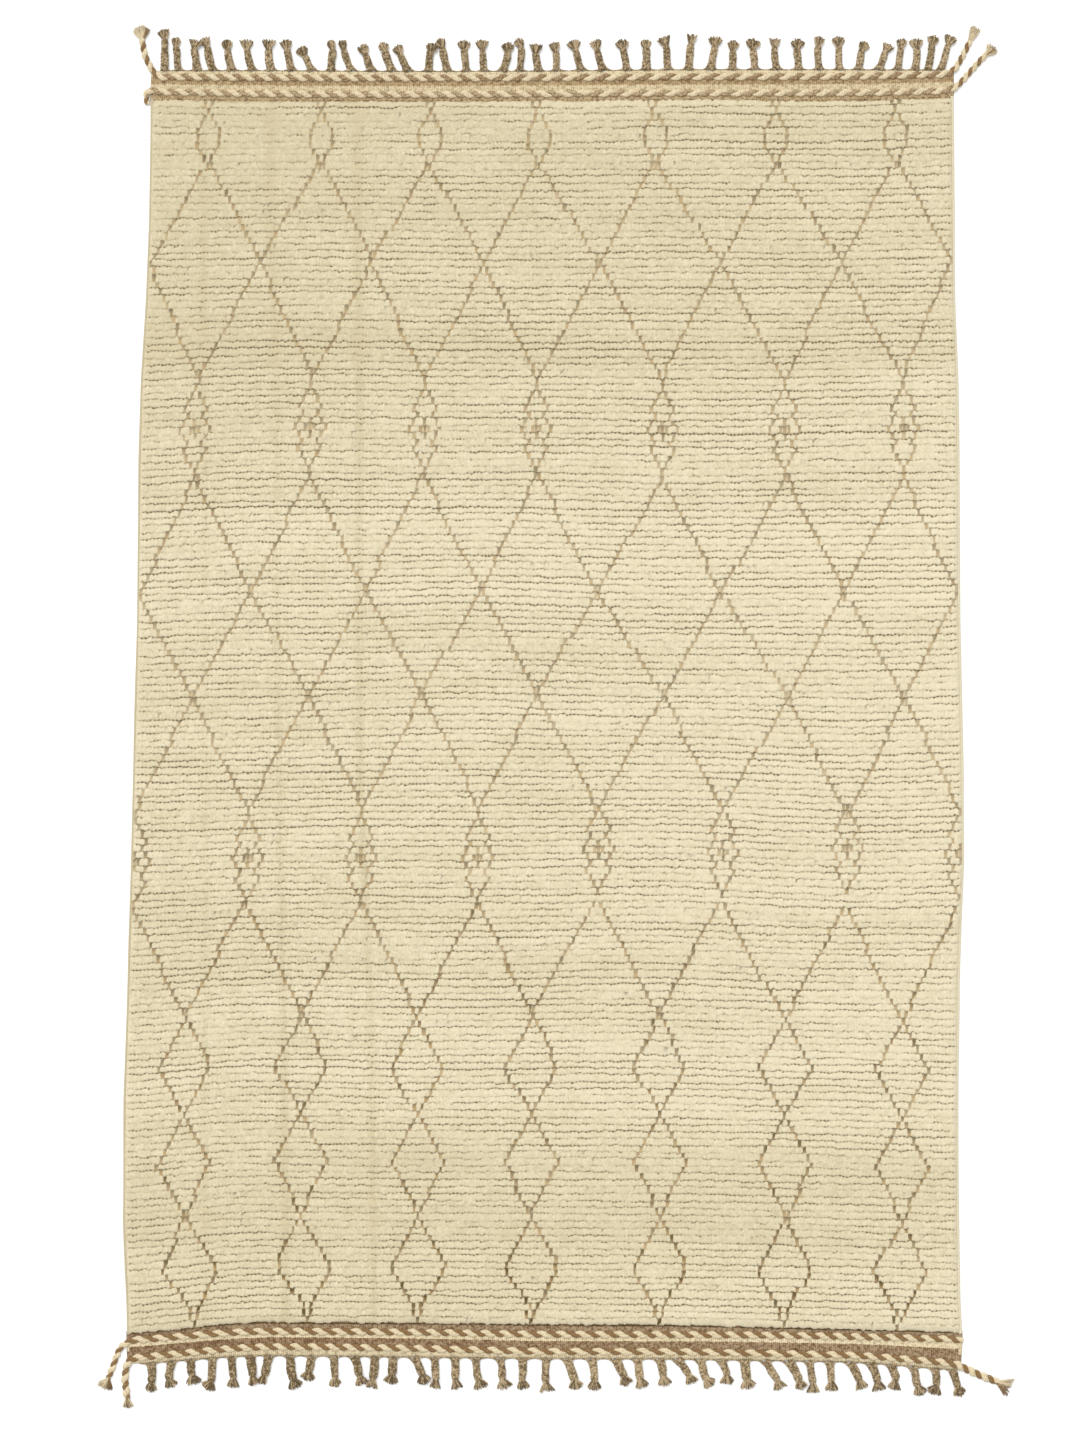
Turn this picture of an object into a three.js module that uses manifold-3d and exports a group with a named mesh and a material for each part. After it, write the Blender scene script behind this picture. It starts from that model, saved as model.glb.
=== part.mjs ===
// An afghan rug lying flat: a cloth of knotted pile with flat-woven end bands, two braided fringes
// and four two-colour twined cords whose tails lie past the corners.
// Millimetres, +Z up, +Y towards the far end, the underside of the cloth on z = 0.
import * as THREE from 'three';
import * as BufferGeometryUtils from 'three/addons/utils/BufferGeometryUtils.js';
import Module from 'manifold-3d';

const wasm = await Module();
wasm.setup();

// Heights above the floor.
const PILE_TOP = 14;
const GROOVE_BOTTOM = 10.8;
const BAND_TOP = 4.5;
const SELVEDGE_TOP = 8;
const SELVEDGE_FOOT = 4;
const PIECE_GAP = 0.3;

// The pile: one rib for each row of knots, highest a third of the way across the row.
const KNOT_ROWS = 177;
const CREST_SHARE = 0.32;
const ROW_WANDER = 3.5;
const LONG_WAVE = { across: 9.5, along: 7, share: 1, start: 0 };
const SHORT_WAVE = { across: 17, along: -11, share: 0.6, start: 1 };
const ROWS_PER_EDGE_POINT = 14;
const PILE_FOOT = 2;

// Selvedge: a low round edge outside the pile.
const SELVEDGE_CREST = 5;
const SELVEDGE_WIDTH = 10;

// The two long edges of the cloth, which bow out a little below the middle.
const SIDES = [
  // along, left, right
  [-1458, -920, 931],
  [-1390, -922, 936],
  [-1302, -923, 931],
  [-1124, -931, 928],
  [-857, -929, 927],
  [-590, -920, 929],
  [-323, -913, 940],
  [-145, -909, 938],
  [211, -900, 931],
  [567, -896, 929],
  [745, -891, 927],
  [923, -880, 920],
  [1101, -873, 918],
  [1366, -869, 916],
  [1435, -867, 916],
];

// The end bands: how far along each edge and cord lies, for a share of the way across.
const BAND_COLUMNS = {
  across: 0, farEdge: 1, farOuter: 2, farInner: 3, farPile: 4,
  nearPile: 5, nearInner: 6, nearOuter: 7, nearEdge: 8,
};
const BANDS = [
  [0.0, 1432, 1419, 1386, 1366, -1375, -1391, -1431, -1444],
  [0.14, 1432, 1417, 1381, 1365, -1351, -1370, -1405, -1423],
  [0.21, 1431, 1416, 1380, 1365, -1353, -1370, -1404, -1424],
  [0.35, 1430, 1416, 1379, 1364, -1355, -1372, -1408, -1427],
  [0.5, 1431, 1417, 1381, 1365, -1359, -1377, -1415, -1430],
  [0.65, 1434, 1419, 1383, 1366, -1359, -1377, -1415, -1431],
  [0.79, 1434, 1419, 1383, 1365, -1362, -1379, -1420, -1435],
  [0.88, 1434, 1420, 1383, 1365, -1366, -1382, -1423, -1438],
  [1.0, 1433, 1425, 1388, 1373, -1372, -1388, -1443, -1457],
];

// Fringe: flat braids with frayed, flared ends. In the charts a character stands for one braid.
const BRAID_WIDTH = 15;
const BRAID_HEIGHT = 7;
const BRAID_TOP_SHARE = 0.66;
const BRAID_NECK_SHARE = 0.94;
const BRAID_ROOT_SHARE = 1.15;
const BRAID_START = 2;
const BRAID_BOW = 1.25;
const BRAID_SPACING = 1;
const FRAY_WIDTH = 23;
const FRAY_LENGTH = 17;
const FRAY_HEIGHT = 5.5;
const ROOT_STRIP_WIDTH = 5;
const ROOT_STRIP_HEIGHT = 4;
const ROOT_INSET = 0.6;
const CHART_GAP_BASE = 28;
const CHART_GAP_STEP = 3.5;
const CHART_LEAN_STEP = 3.5;
const CHART_LENGTH_BASE = 56;
const CHART_LENGTH_STEP = 4.5;
const UPRIGHT_LETTER = 'i';
const FRINGES = {
  fringe_far: {
    edge: 'farEdge',
    outward: 1,
    strip: [-850, 898],
    firstRoot: -839,
    gaps: '1424545545552544343438674656666655454300',
    leans: 'jggdedfebjbccbjeghnjfidcfjhklihghhhlolkmp',
    lengths: '84343333033121243324123333454233344213355',
  },
  fringe_near: {
    edge: 'nearEdge',
    outward: -1,
    strip: [-896, 926],
    firstRoot: -868,
    gaps: '54644456655455558675876637575755555663',
    leans: 'jgjhjkekgjnhgpjjkkihplpkmtmojsrlkqpnmkm',
    lengths: '210432240323113333343312102022232110211',
  },
};

// Twined cords: two yarns turned round each other, so a bump shows every half turn.
const CORD_WIDTH = 14;
const CORD_CREST = 7.2;
const CORD_DIP = 4.6;
const CORD_TOP_SHARE = 0.55;
const CORD_SLANT = 4.5;
const CORD_BASES = 18;
const TAIL_DIP_SHARE = 0.8;
const TAIL_WAIST_SHARE = 0.9;
const TAIL_FRAY_HEIGHT = 5;
const TAIL_FRAY_TOP_SHARE = 0.8;
const CORD_SEAT = BAND_TOP + PIECE_GAP;

// Each cord: the band column it follows, its half turn, the share of its length where the slant
// changes hand, and the route of a tail or a stub at either end as rows of across, along, lift.
const CORDS = {
  twined_cord_far_outer: {
    column: 'farOuter',
    halfTurn: 19.4,
    handChange: 0.43,
    start: { route: [[-887, 1533, 0], [-888, 1502, 0], [-883, 1480, 0], [-874, 1462, 0],
      [-860, 1439, CORD_SEAT], [-852, 1427, CORD_SEAT]], fray: 26 },
    end: { route: [[904, 1427, CORD_SEAT], [918, 1436, CORD_SEAT], [930, 1454, 0], [940, 1473, 0],
      [951, 1495, 0], [964, 1522, 0]], fray: 20 },
  },
  twined_cord_far_inner: {
    column: 'farInner',
    halfTurn: 19.4,
    handChange: 0.52,
    start: { route: [[-876, 1386, CORD_SEAT]], fray: 0 },
    end: { route: [[899, 1390, CORD_SEAT], [921, 1396, CORD_SEAT], [936, 1411, 0.5], [951, 1428, 0],
      [967, 1448, 0], [982, 1466, 0], [998, 1481, 0]], fray: 20 },
  },
  twined_cord_near_inner: {
    column: 'nearInner',
    halfTurn: 21,
    handChange: 1,
    start: { route: [[-971, -1493, 0], [-959, -1462, 0], [-950, -1440, 0], [-942, -1417, 1],
      [-930, -1401, CORD_SEAT], [-911, -1391, CORD_SEAT]], fray: 28 },
    end: { route: [[942, -1392, CORD_SEAT]], fray: 0 },
  },
  twined_cord_near_outer: {
    column: 'nearOuter',
    halfTurn: 22,
    handChange: 1,
    start: { route: [[-921, -1535, 0], [-922, -1513, 0], [-925, -1491, 0], [-926, -1469, 0],
      [-923, -1450, CORD_SEAT], [-917, -1436, CORD_SEAT], [-904, -1430, CORD_SEAT]], fray: 18 },
    end: { route: [[911, -1442, CORD_SEAT], [927, -1445, CORD_SEAT], [942, -1453, CORD_SEAT],
      [962, -1462, 0.5], [982, -1471, 0], [1004, -1479, 0], [1031, -1495, 0]], fray: 28 },
  },
};

const FINISHES = {
  rug_cloth: { color: 0xe4d8b6, roughness: 0.95 },
  fringe: { color: 0x8a7658, roughness: 0.9 },
  twined_cord: { color: 0xb99c70, roughness: 0.9 },
};

// A surface under construction: points and triangles that share them.
class Surface {
  constructor() {
    this.points = [];
    this.faces = [];
  }

  point(x, y, z) {
    this.points.push(x, y, z);
    return this.points.length / 3 - 1;
  }

  triangle(a, b, c) {
    this.faces.push(a, b, c);
  }

  quad(a, b, c, d) {
    this.triangle(a, b, c);
    this.triangle(a, c, d);
  }

  // Fills the strip between two lines with unlike counts of points, the second on the left of the first.
  lace(line, other) {
    let i = 0;
    let j = 0;
    while (i < line.length - 1 || j < other.length - 1) {
      const nextLine = (i + 1) / (line.length - 1);
      const nextOther = (j + 1) / (other.length - 1);
      if (j >= other.length - 1 || (i < line.length - 1 && nextLine <= nextOther)) {
        this.triangle(line[i], line[i + 1], other[j]);
        i += 1;
      } else {
        this.triangle(line[i], other[j + 1], other[j]);
        j += 1;
      }
    }
  }

  geometry() {
    const geometry = new THREE.BufferGeometry();
    geometry.setAttribute('position', new THREE.Float32BufferAttribute(this.points, 3));
    geometry.setIndex(this.faces);
    return geometry;
  }
}

// Reads a table at a value of its first column.
function tableValue(table, column, value) {
  let row = 1;
  while (row < table.length - 1 && value > table[row][0]) {
    row += 1;
  }
  const low = table[row - 1];
  const high = table[row];
  const share = (value - low[0]) / (high[0] - low[0]);
  return low[column] + (high[column] - low[column]) * share;
}

function leftSide(along) {
  return tableValue(SIDES, 1, along);
}

function rightSide(along) {
  return tableValue(SIDES, 2, along);
}

function bandLine(name, across) {
  return tableValue(BANDS, BAND_COLUMNS[name], across);
}

// The same line as seen from above: how far along it lies at a place across the cloth.
function bandLineAt(name, x) {
  const points = BANDS.map((row) => {
    const along = row[BAND_COLUMNS[name]];
    return [THREE.MathUtils.lerp(leftSide(along), rightSide(along), row[0]), along];
  });
  return tableValue(points, 1, x);
}

// How far along a row of knots lies: between the two pile edges, wandering a little.
function pileAlong(across, progress) {
  const straight = THREE.MathUtils.lerp(bandLine('nearPile', across), bandLine('farPile', across), progress);
  const fade = 4 * progress * (1 - progress);
  const sway = (wave) => wave.share * Math.sin(wave.across * across + wave.along * progress + wave.start);
  return straight + ROW_WANDER * fade * (sway(LONG_WAVE) + sway(SHORT_WAVE));
}

// The lines that cross the cloth from the near end to the far one, each with its height.
function crossLines() {
  const lines = [
    { along: (across) => bandLine('nearEdge', across), top: BAND_TOP, coarse: true },
    { along: (across) => bandLine('nearPile', across) - PILE_FOOT, top: BAND_TOP, coarse: true },
    { along: (across) => pileAlong(across, 0), top: GROOVE_BOTTOM, coarse: true, pile: true },
  ];
  for (let row = 0; row < KNOT_ROWS; row += 1) {
    const crest = (row + CREST_SHARE) / KNOT_ROWS;
    const groove = (row + 1) / KNOT_ROWS;
    const last = row === KNOT_ROWS - 1;
    const clearOfEnds = row > 0 && row < KNOT_ROWS - ROWS_PER_EDGE_POINT / 2;
    const coarse = last || (row % ROWS_PER_EDGE_POINT === 0 && clearOfEnds);
    lines.push({ along: (across) => pileAlong(across, crest), top: PILE_TOP, pile: true });
    lines.push({ along: (across) => pileAlong(across, groove), top: GROOVE_BOTTOM, coarse, pile: true });
  }
  lines.push({ along: (across) => bandLine('farPile', across) + PILE_FOOT, top: BAND_TOP, coarse: true });
  lines.push({ along: (across) => bandLine('farEdge', across), top: BAND_TOP, coarse: true });
  return lines;
}

// The knotted cloth: a fine grid between the selvedges, laced to coarse edge lines, walls and an underside.
function rugCloth() {
  const surface = new Surface();
  const inner = BANDS.slice(1, -1).map((row) => row[0]);
  const fine = [];
  const coarse = [];
  for (const line of crossLines()) {
    const leftAlong = line.along(0);
    const rightAlong = line.along(1);
    const left = leftSide(leftAlong);
    const right = rightSide(rightAlong);
    const crestShare = SELVEDGE_CREST / (right - left);
    const innerShare = SELVEDGE_WIDTH / (right - left);
    const row = [surface.point(left + SELVEDGE_WIDTH, line.along(innerShare), line.top)];
    for (const across of inner) {
      const along = line.along(across);
      const x = THREE.MathUtils.lerp(leftSide(along), rightSide(along), across);
      row.push(surface.point(x, along, line.top));
    }
    row.push(surface.point(right - SELVEDGE_WIDTH, line.along(1 - innerShare), line.top));
    fine.push(row);
    if (line.coarse) {
      const crest = line.pile ? SELVEDGE_TOP : BAND_TOP;
      const foot = line.pile ? SELVEDGE_FOOT : BAND_TOP;
      coarse.push({
        fineRow: fine.length - 1,
        leftCrest: surface.point(left + SELVEDGE_CREST, line.along(crestShare), crest),
        leftEdge: surface.point(left, leftAlong, foot),
        leftBase: surface.point(left, leftAlong, 0),
        rightCrest: surface.point(right - SELVEDGE_CREST, line.along(1 - crestShare), crest),
        rightEdge: surface.point(right, rightAlong, foot),
        rightBase: surface.point(right, rightAlong, 0),
      });
    }
  }
  for (let row = 0; row < fine.length - 1; row += 1) {
    for (let column = 0; column < fine[row].length - 1; column += 1) {
      const next = fine[row + 1];
      surface.quad(fine[row][column], fine[row][column + 1], next[column + 1], next[column]);
    }
  }
  const lastColumn = fine[0].length - 1;
  for (let step = 0; step < coarse.length - 1; step += 1) {
    const near = coarse[step];
    const far = coarse[step + 1];
    const rows = fine.slice(near.fineRow, far.fineRow + 1);
    surface.lace(rows.map((row) => row[0]), [near.leftCrest, far.leftCrest]);
    surface.lace([near.rightCrest, far.rightCrest], rows.map((row) => row[lastColumn]));
    surface.quad(near.leftEdge, near.leftCrest, far.leftCrest, far.leftEdge);
    surface.quad(near.leftBase, near.leftEdge, far.leftEdge, far.leftBase);
    surface.quad(near.rightCrest, near.rightEdge, far.rightEdge, far.rightCrest);
    surface.quad(near.rightEdge, near.rightBase, far.rightBase, far.rightEdge);
  }
  closeUnderside(surface, fine, coarse);
  return surface.geometry();
}

// The end walls and the flat underside.
function closeUnderside(surface, fine, coarse) {
  const base = (index) => {
    const start = index * 3;
    return surface.point(surface.points[start], surface.points[start + 1], 0);
  };
  const ends = [coarse[0], coarse[coarse.length - 1]].map((end, side) => {
    const row = fine[side === 0 ? 0 : fine.length - 1];
    const top = [end.leftEdge, end.leftCrest, ...row, end.rightCrest, end.rightEdge];
    const bottom = [end.leftBase, ...top.slice(1, -1).map(base), end.rightBase];
    for (let step = 0; step < top.length - 1; step += 1) {
      if (side === 0) {
        surface.quad(bottom[step], bottom[step + 1], top[step + 1], top[step]);
      } else {
        surface.quad(bottom[step + 1], bottom[step], top[step], top[step + 1]);
      }
    }
    return bottom;
  });
  const between = coarse.slice(1, -1);
  const ring = [
    ...ends[0],
    ...between.map((end) => end.rightBase),
    ...ends[1].reverse(),
    ...between.map((end) => end.leftBase).reverse(),
  ];
  const outline = ring.map((index) => {
    const start = index * 3;
    return new THREE.Vector2(surface.points[start], surface.points[start + 1]);
  });
  for (const [a, b, c] of THREE.ShapeUtils.triangulateShape(outline, [])) {
    const turn = (outline[b].x - outline[a].x) * (outline[c].y - outline[a].y)
      - (outline[b].y - outline[a].y) * (outline[c].x - outline[a].x);
    if (turn > 0) {
      surface.triangle(ring[a], ring[c], ring[b]);
    } else {
      surface.triangle(ring[a], ring[b], ring[c]);
    }
  }
}

// A four-sided body through sections: x, y, bottom, top, width, topWidth, dx, dy and an optional slant.
// A section without a bottom shapes the top alone, so the walls are laced past it.
function loft(sections) {
  const surface = new Surface();
  const tops = { left: [], right: [] };
  const bases = [];
  for (const section of sections) {
    const size = Math.hypot(section.dx, section.dy);
    const dx = section.dx / size;
    const dy = section.dy / size;
    const slant = section.slant ?? 0;
    const corner = (side, width, z, shift) => surface.point(
      section.x - dy * side * width / 2 + dx * shift,
      section.y + dx * side * width / 2 + dy * shift,
      z,
    );
    tops.left.push(corner(1, section.topWidth, section.top, slant));
    tops.right.push(corner(-1, section.topWidth, section.top, -slant));
    if (section.bottom !== undefined) {
      bases.push({
        at: tops.left.length - 1,
        left: corner(1, section.width, section.bottom, 0),
        right: corner(-1, section.width, section.bottom, 0),
      });
    }
  }
  const last = tops.left.length - 1;
  const end = bases[bases.length - 1];
  surface.quad(bases[0].left, bases[0].right, tops.right[0], tops.left[0]);
  surface.quad(tops.left[last], tops.right[last], end.right, end.left);
  for (let step = 0; step < last; step += 1) {
    surface.quad(tops.right[step], tops.right[step + 1], tops.left[step + 1], tops.left[step]);
  }
  for (let step = 0; step < bases.length - 1; step += 1) {
    const near = bases[step];
    const far = bases[step + 1];
    surface.quad(near.left, far.left, far.right, near.right);
    surface.lace([near.right, far.right], tops.right.slice(near.at, far.at + 1));
    surface.lace(tops.left.slice(near.at, far.at + 1), [near.left, far.left]);
  }
  return surface.geometry();
}

// The braids of one fringe: where each is rooted, where it ends and how wide its frayed end is.
function readBraids(fringe) {
  const braids = [];
  let x = fringe.firstRoot;
  for (let index = 0; index < fringe.leans.length; index += 1) {
    const lean = (fringe.leans.charCodeAt(index) - UPRIGHT_LETTER.charCodeAt(0)) * CHART_LEAN_STEP;
    const length = CHART_LENGTH_BASE + Number(fringe.lengths[index]) * CHART_LENGTH_STEP;
    braids.push({ x, lean, length, edge: bandLineAt(fringe.edge, x) });
    if (index < fringe.gaps.length) {
      x += CHART_GAP_BASE + Number(fringe.gaps[index]) * CHART_GAP_STEP;
    }
  }
  braids.forEach((braid, index) => {
    const others = [braids[index - 1], braids[index + 1]].filter((other) => other !== undefined);
    const room = Math.min(...others.map((other) => tipRoom(braid, other)));
    braid.fray = Math.min(FRAY_WIDTH, room - BRAID_SPACING);
    braid.width = Math.min(BRAID_WIDTH, braid.fray);
  });
  return braids;
}

// The distance between two braids' middle lines where the shorter one ends.
function tipRoom(braid, other) {
  const reach = Math.min(braid.length, other.length);
  const at = (one) => one.x + one.lean * leanProgress(reach / one.length);
  return Math.abs(at(braid) - at(other));
}

function leanProgress(progress) {
  return progress ** BRAID_BOW;
}

function braid(fringe, braidPlace) {
  const { x, lean, length, edge, width, fray } = braidPlace;
  const out = fringe.outward;
  const inside = ROOT_STRIP_WIDTH / 2 + PIECE_GAP;
  const clear = ROOT_STRIP_WIDTH + PIECE_GAP + BRAID_START;
  const neck = length - FRAY_LENGTH;
  const stops = [clear, neck, length];
  const widths = [width, width * BRAID_NECK_SHARE, fray];
  const heights = [BRAID_HEIGHT, BRAID_HEIGHT, FRAY_HEIGHT];
  const at = (reach) => x + lean * leanProgress(reach / length);
  const sections = stops.map((reach, index) => ({
    x: at(reach),
    y: edge + out * reach,
    dx: at(reach + 1) - at(reach - 1),
    dy: 2 * out,
    bottom: 0,
    top: heights[index],
    width: widths[index],
    topWidth: widths[index] * BRAID_TOP_SHARE,
  }));
  sections.unshift({
    x: at(inside),
    y: edge + out * inside,
    dx: 0,
    dy: out,
    bottom: ROOT_INSET,
    top: ROOT_STRIP_HEIGHT - ROOT_INSET,
    width: width * BRAID_ROOT_SHARE,
    topWidth: width,
  });
  return loft(sections);
}

// The strip of gathered warp ends along the cloth's edge that the braids grow from.
function rootStrip(fringe) {
  const [low, high] = fringe.strip;
  const out = fringe.outward;
  const bends = BANDS.slice(1, -1).map((row) => {
    const along = row[BAND_COLUMNS[fringe.edge]];
    return THREE.MathUtils.lerp(leftSide(along), rightSide(along), row[0]);
  });
  return loft([low, ...bends, high].map((x) => ({
    x,
    y: bandLineAt(fringe.edge, x) + out * (PIECE_GAP + ROOT_STRIP_WIDTH / 2),
    dx: 1,
    dy: 0,
    bottom: 0,
    top: ROOT_STRIP_HEIGHT,
    width: ROOT_STRIP_WIDTH,
    topWidth: ROOT_STRIP_WIDTH,
  })));
}

function toManifold(geometry) {
  const merged = BufferGeometryUtils.mergeVertices(geometry);
  return new wasm.Manifold(new wasm.Mesh({
    numProp: 3,
    vertProperties: Float32Array.from(merged.attributes.position.array),
    triVerts: Uint32Array.from(merged.index.array),
  }));
}

function fromManifold(solid) {
  const mesh = solid.getMesh();
  const geometry = new THREE.BufferGeometry();
  geometry.setAttribute('position', new THREE.BufferAttribute(Float32Array.from(mesh.vertProperties), 3));
  geometry.setIndex(Array.from(mesh.triVerts));
  return geometry;
}

function fringeSolid(fringe) {
  let solid = toManifold(rootStrip(fringe));
  for (const place of readBraids(fringe)) {
    solid = solid.add(toManifold(braid(fringe, place)));
  }
  return fromManifold(solid);
}

// Sections along a tail's route, with a bump at every second one and a frayed outer end.
function tailSections(route, fray, frayAtStart) {
  return route.map(([x, y, lift], index) => {
    const before = route[Math.max(index - 1, 0)];
    const after = route[Math.min(index + 1, route.length - 1)];
    const tip = fray > 0 && index === (frayAtStart ? 0 : route.length - 1);
    const bump = index % 2 === 0;
    const high = bump ? CORD_CREST : CORD_CREST * TAIL_DIP_SHARE;
    const wide = bump ? CORD_WIDTH * TAIL_WAIST_SHARE : CORD_WIDTH;
    const width = tip ? fray : wide;
    return {
      x,
      y,
      dx: route.length > 1 ? after[0] - before[0] : 1,
      dy: after[1] - before[1],
      bottom: lift,
      top: lift + (tip ? TAIL_FRAY_HEIGHT : high),
      width,
      topWidth: width * (tip ? TAIL_FRAY_TOP_SHARE : CORD_TOP_SHARE),
    };
  });
}

// A cord: its left tail, the bumps across the band and its right tail, in one body.
function twinedCord(cord) {
  const start = cord.start.route[cord.start.route.length - 1][0];
  const end = cord.end.route[0][0];
  const steps = 2 * Math.round((end - start) / cord.halfTurn);
  const stepsPerBase = Math.round(steps / CORD_BASES);
  const middle = [];
  for (let step = 1; step < steps; step += 1) {
    const x = THREE.MathUtils.lerp(start, end, step / steps);
    const y = bandLineAt(cord.column, x);
    const hand = step / steps < cord.handChange ? -1 : 1;
    middle.push({
      x,
      y,
      dx: 1,
      dy: 0,
      bottom: step % stepsPerBase === 0 ? CORD_SEAT : undefined,
      top: CORD_SEAT + (step % 2 === 0 ? CORD_DIP : CORD_CREST),
      width: CORD_WIDTH,
      topWidth: CORD_WIDTH * CORD_TOP_SHARE,
      slant: step > 1 && step < steps - 1 ? hand * CORD_SLANT : 0,
    });
  }
  return loft([
    ...tailSections(cord.start.route, cord.start.fray, true),
    ...middle,
    ...tailSections(cord.end.route, cord.end.fray, false),
  ]);
}

function namedMesh(name, geometry, finish) {
  const flat = geometry.toNonIndexed();
  flat.computeVertexNormals();
  const mesh = new THREE.Mesh(flat, new THREE.MeshStandardMaterial({ ...FINISHES[finish], metalness: 0 }));
  mesh.name = name;
  return mesh;
}

const rug = new THREE.Group();
rug.add(namedMesh('rug_cloth', rugCloth(), 'rug_cloth'));
for (const [name, fringe] of Object.entries(FRINGES)) {
  rug.add(namedMesh(name, fringeSolid(fringe), 'fringe'));
}
for (const [name, cord] of Object.entries(CORDS)) {
  rug.add(namedMesh(name, twinedCord(cord), 'twined_cord'));
}

// The rug lies with the middle of its box over the origin.
const box = new THREE.Box3().setFromObject(rug);
const middle = box.getCenter(new THREE.Vector3());
rug.position.set(-middle.x, -middle.y, 0);
rug.updateMatrixWorld(true);

export default rug;
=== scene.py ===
"""A hand-knotted wool rug: its pile, flat-woven ends, twined cords, overcast sides and braided fringe."""

import math

import bmesh
import bpy
import numpy as np
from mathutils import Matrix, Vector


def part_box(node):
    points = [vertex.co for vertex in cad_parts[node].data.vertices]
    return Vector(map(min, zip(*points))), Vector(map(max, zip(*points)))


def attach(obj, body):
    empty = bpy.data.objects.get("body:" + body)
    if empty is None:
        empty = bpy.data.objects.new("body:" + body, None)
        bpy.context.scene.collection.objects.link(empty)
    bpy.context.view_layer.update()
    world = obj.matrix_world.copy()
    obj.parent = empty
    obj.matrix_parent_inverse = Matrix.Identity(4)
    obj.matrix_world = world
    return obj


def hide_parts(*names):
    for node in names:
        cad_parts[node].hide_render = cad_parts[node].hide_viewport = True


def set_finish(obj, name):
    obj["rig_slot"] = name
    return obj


bl_info = {
    "name": "Hand-Knotted Wool Rug",
    "version": (1, 0, 0),
    "blender": (4, 5, 0),
    "location": "3D View > Sidebar > Rug",
    "description": "Lays out a knotted wool rug with twined ends and a braided fringe over its solids",
    "category": "Object",
}

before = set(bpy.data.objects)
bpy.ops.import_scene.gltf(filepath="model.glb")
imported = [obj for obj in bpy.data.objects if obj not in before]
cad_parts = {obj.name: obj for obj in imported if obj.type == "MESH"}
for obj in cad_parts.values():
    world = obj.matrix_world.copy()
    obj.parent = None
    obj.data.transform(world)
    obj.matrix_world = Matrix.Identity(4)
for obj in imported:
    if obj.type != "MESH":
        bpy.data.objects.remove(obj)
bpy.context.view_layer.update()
SEED = 7
MM = 0.001

# Sizes are in millimetres in the rug's own frame: across to the right, along to the far end.
# The frame is the solids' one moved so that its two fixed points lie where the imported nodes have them.
STRIP_START = -850.0
FAR_CORNER = 1434.0
FRAME_SHIFT = np.array([
    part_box("fringe_far")[0].x / MM - STRIP_START,
    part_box("rug_cloth")[1].y / MM - FAR_CORNER,
    0.0,
])

# The two long sides, from the near end to the far one.
SIDES = np.array([
    (-1458, -920, 931), (-1390, -922, 936), (-1302, -923, 931), (-1124, -931, 928),
    (-857, -929, 927), (-590, -920, 929), (-323, -913, 940), (-145, -909, 938),
    (211, -900, 931), (567, -896, 929), (745, -891, 927), (923, -880, 920),
    (1101, -873, 918), (1366, -869, 916), (1435, -867, 916),
], dtype=[("along", float), ("left", float), ("right", float)])

# How far along each line of the end bands lies, by the share of the way across.
BANDS = np.array([
    (0, 1432, 1419, 1386, 1366, -1375, -1391, -1431, -1444),
    (0.14, 1432, 1417, 1381, 1365, -1349, -1370, -1405, -1423),
    (0.21, 1431, 1416, 1380, 1365, -1350, -1370, -1404, -1424),
    (0.35, 1430, 1416, 1379, 1364, -1351, -1372, -1408, -1427),
    (0.5, 1431, 1417, 1381, 1365, -1354, -1377, -1415, -1430),
    (0.65, 1434, 1419, 1383, 1366, -1355, -1377, -1415, -1431),
    (0.79, 1434, 1419, 1383, 1365, -1362, -1379, -1420, -1435),
    (0.88, 1434, 1420, 1383, 1365, -1366, -1382, -1423, -1438),
    (1, 1433, 1425, 1388, 1373, -1372, -1388, -1443, -1457),
], dtype=[(name, float) for name in (
    "across", "far_edge", "far_outer", "far_inner", "far_pile",
    "near_pile", "near_inner", "near_outer", "near_edge",
)])
BAND_ROUNDING = 0.03

# The pile: rows of knots with a groove behind each row.
KNOT_ROWS = 177
KNOTS_ACROSS = 220
PILE_FOOT = 2.0
SIDE_MARGIN = 5.0
CLOTH_WIDTH = 1830.0
# How rows stray from straight lines, most at mid-length: the reach, and two waves by their radians
# across and along, their size and their start.
ROW_WANDER = 3.5
WAVES = ((9.5, 7.0, 1.0, 0.0), (17.0, -11.0, 0.6, 1.0))
PILE_SECTIONS = 4
KNOT_SLANT = 0.4
SKIRT_REACH = 1.5
PILE_EDGE = 0.12
# How raggedly a row's lines run: by knot, by point, and in curves by their reach in columns. The knots
# also drift to the left and right.
KNOT_JAG = 2.2
POINT_JAG = 1.0
JAG_CURVES = ((11, 1.2), (60, 2.4))
KNOT_DRIFT = 1.5
CURVE_DRIFT = 1.2
# The lines of a row, from the floor of its near groove to the brink of its far one: the share of the
# row, the rise, the clefts' depth, the unevenness, how far the line follows the row's jags and the
# knots' slant, and what the groove beside it does where it opens.
ROW_LINES = np.array([
    (0.0, 0.95, 0.5, 0.3, 1.0, 0.0, 0.0, -0.1, 1.0),
    (0.035, 0.975, 1.0, 1.0, 0.95, -1.0, 0.0, -0.03, 0.15),
    (0.3, 1.0, 0.8, 0.6, 0.5, -0.3, 0.0, 0.0, 0.0),
    (0.955, 0.96, 1.0, 1.0, 0.95, 1.0, -0.06, -0.06, 0.3),
], dtype=[(name, float) for name in (
    "place", "rise", "cleft", "wobble", "follow", "slant", "opened_place", "opened_rise", "groove",
)])
LINES_PER_ROW = len(ROW_LINES)
# How high the pile stands at its two ends, by rows from each.
NEAR_SLOPE = ((0, 0.5), (0.3, 0.8), (1.0, 1.0))
FAR_SLOPE = ((0.9, 1.0), (0.3, 0.85), (0, 0.5))

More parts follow.
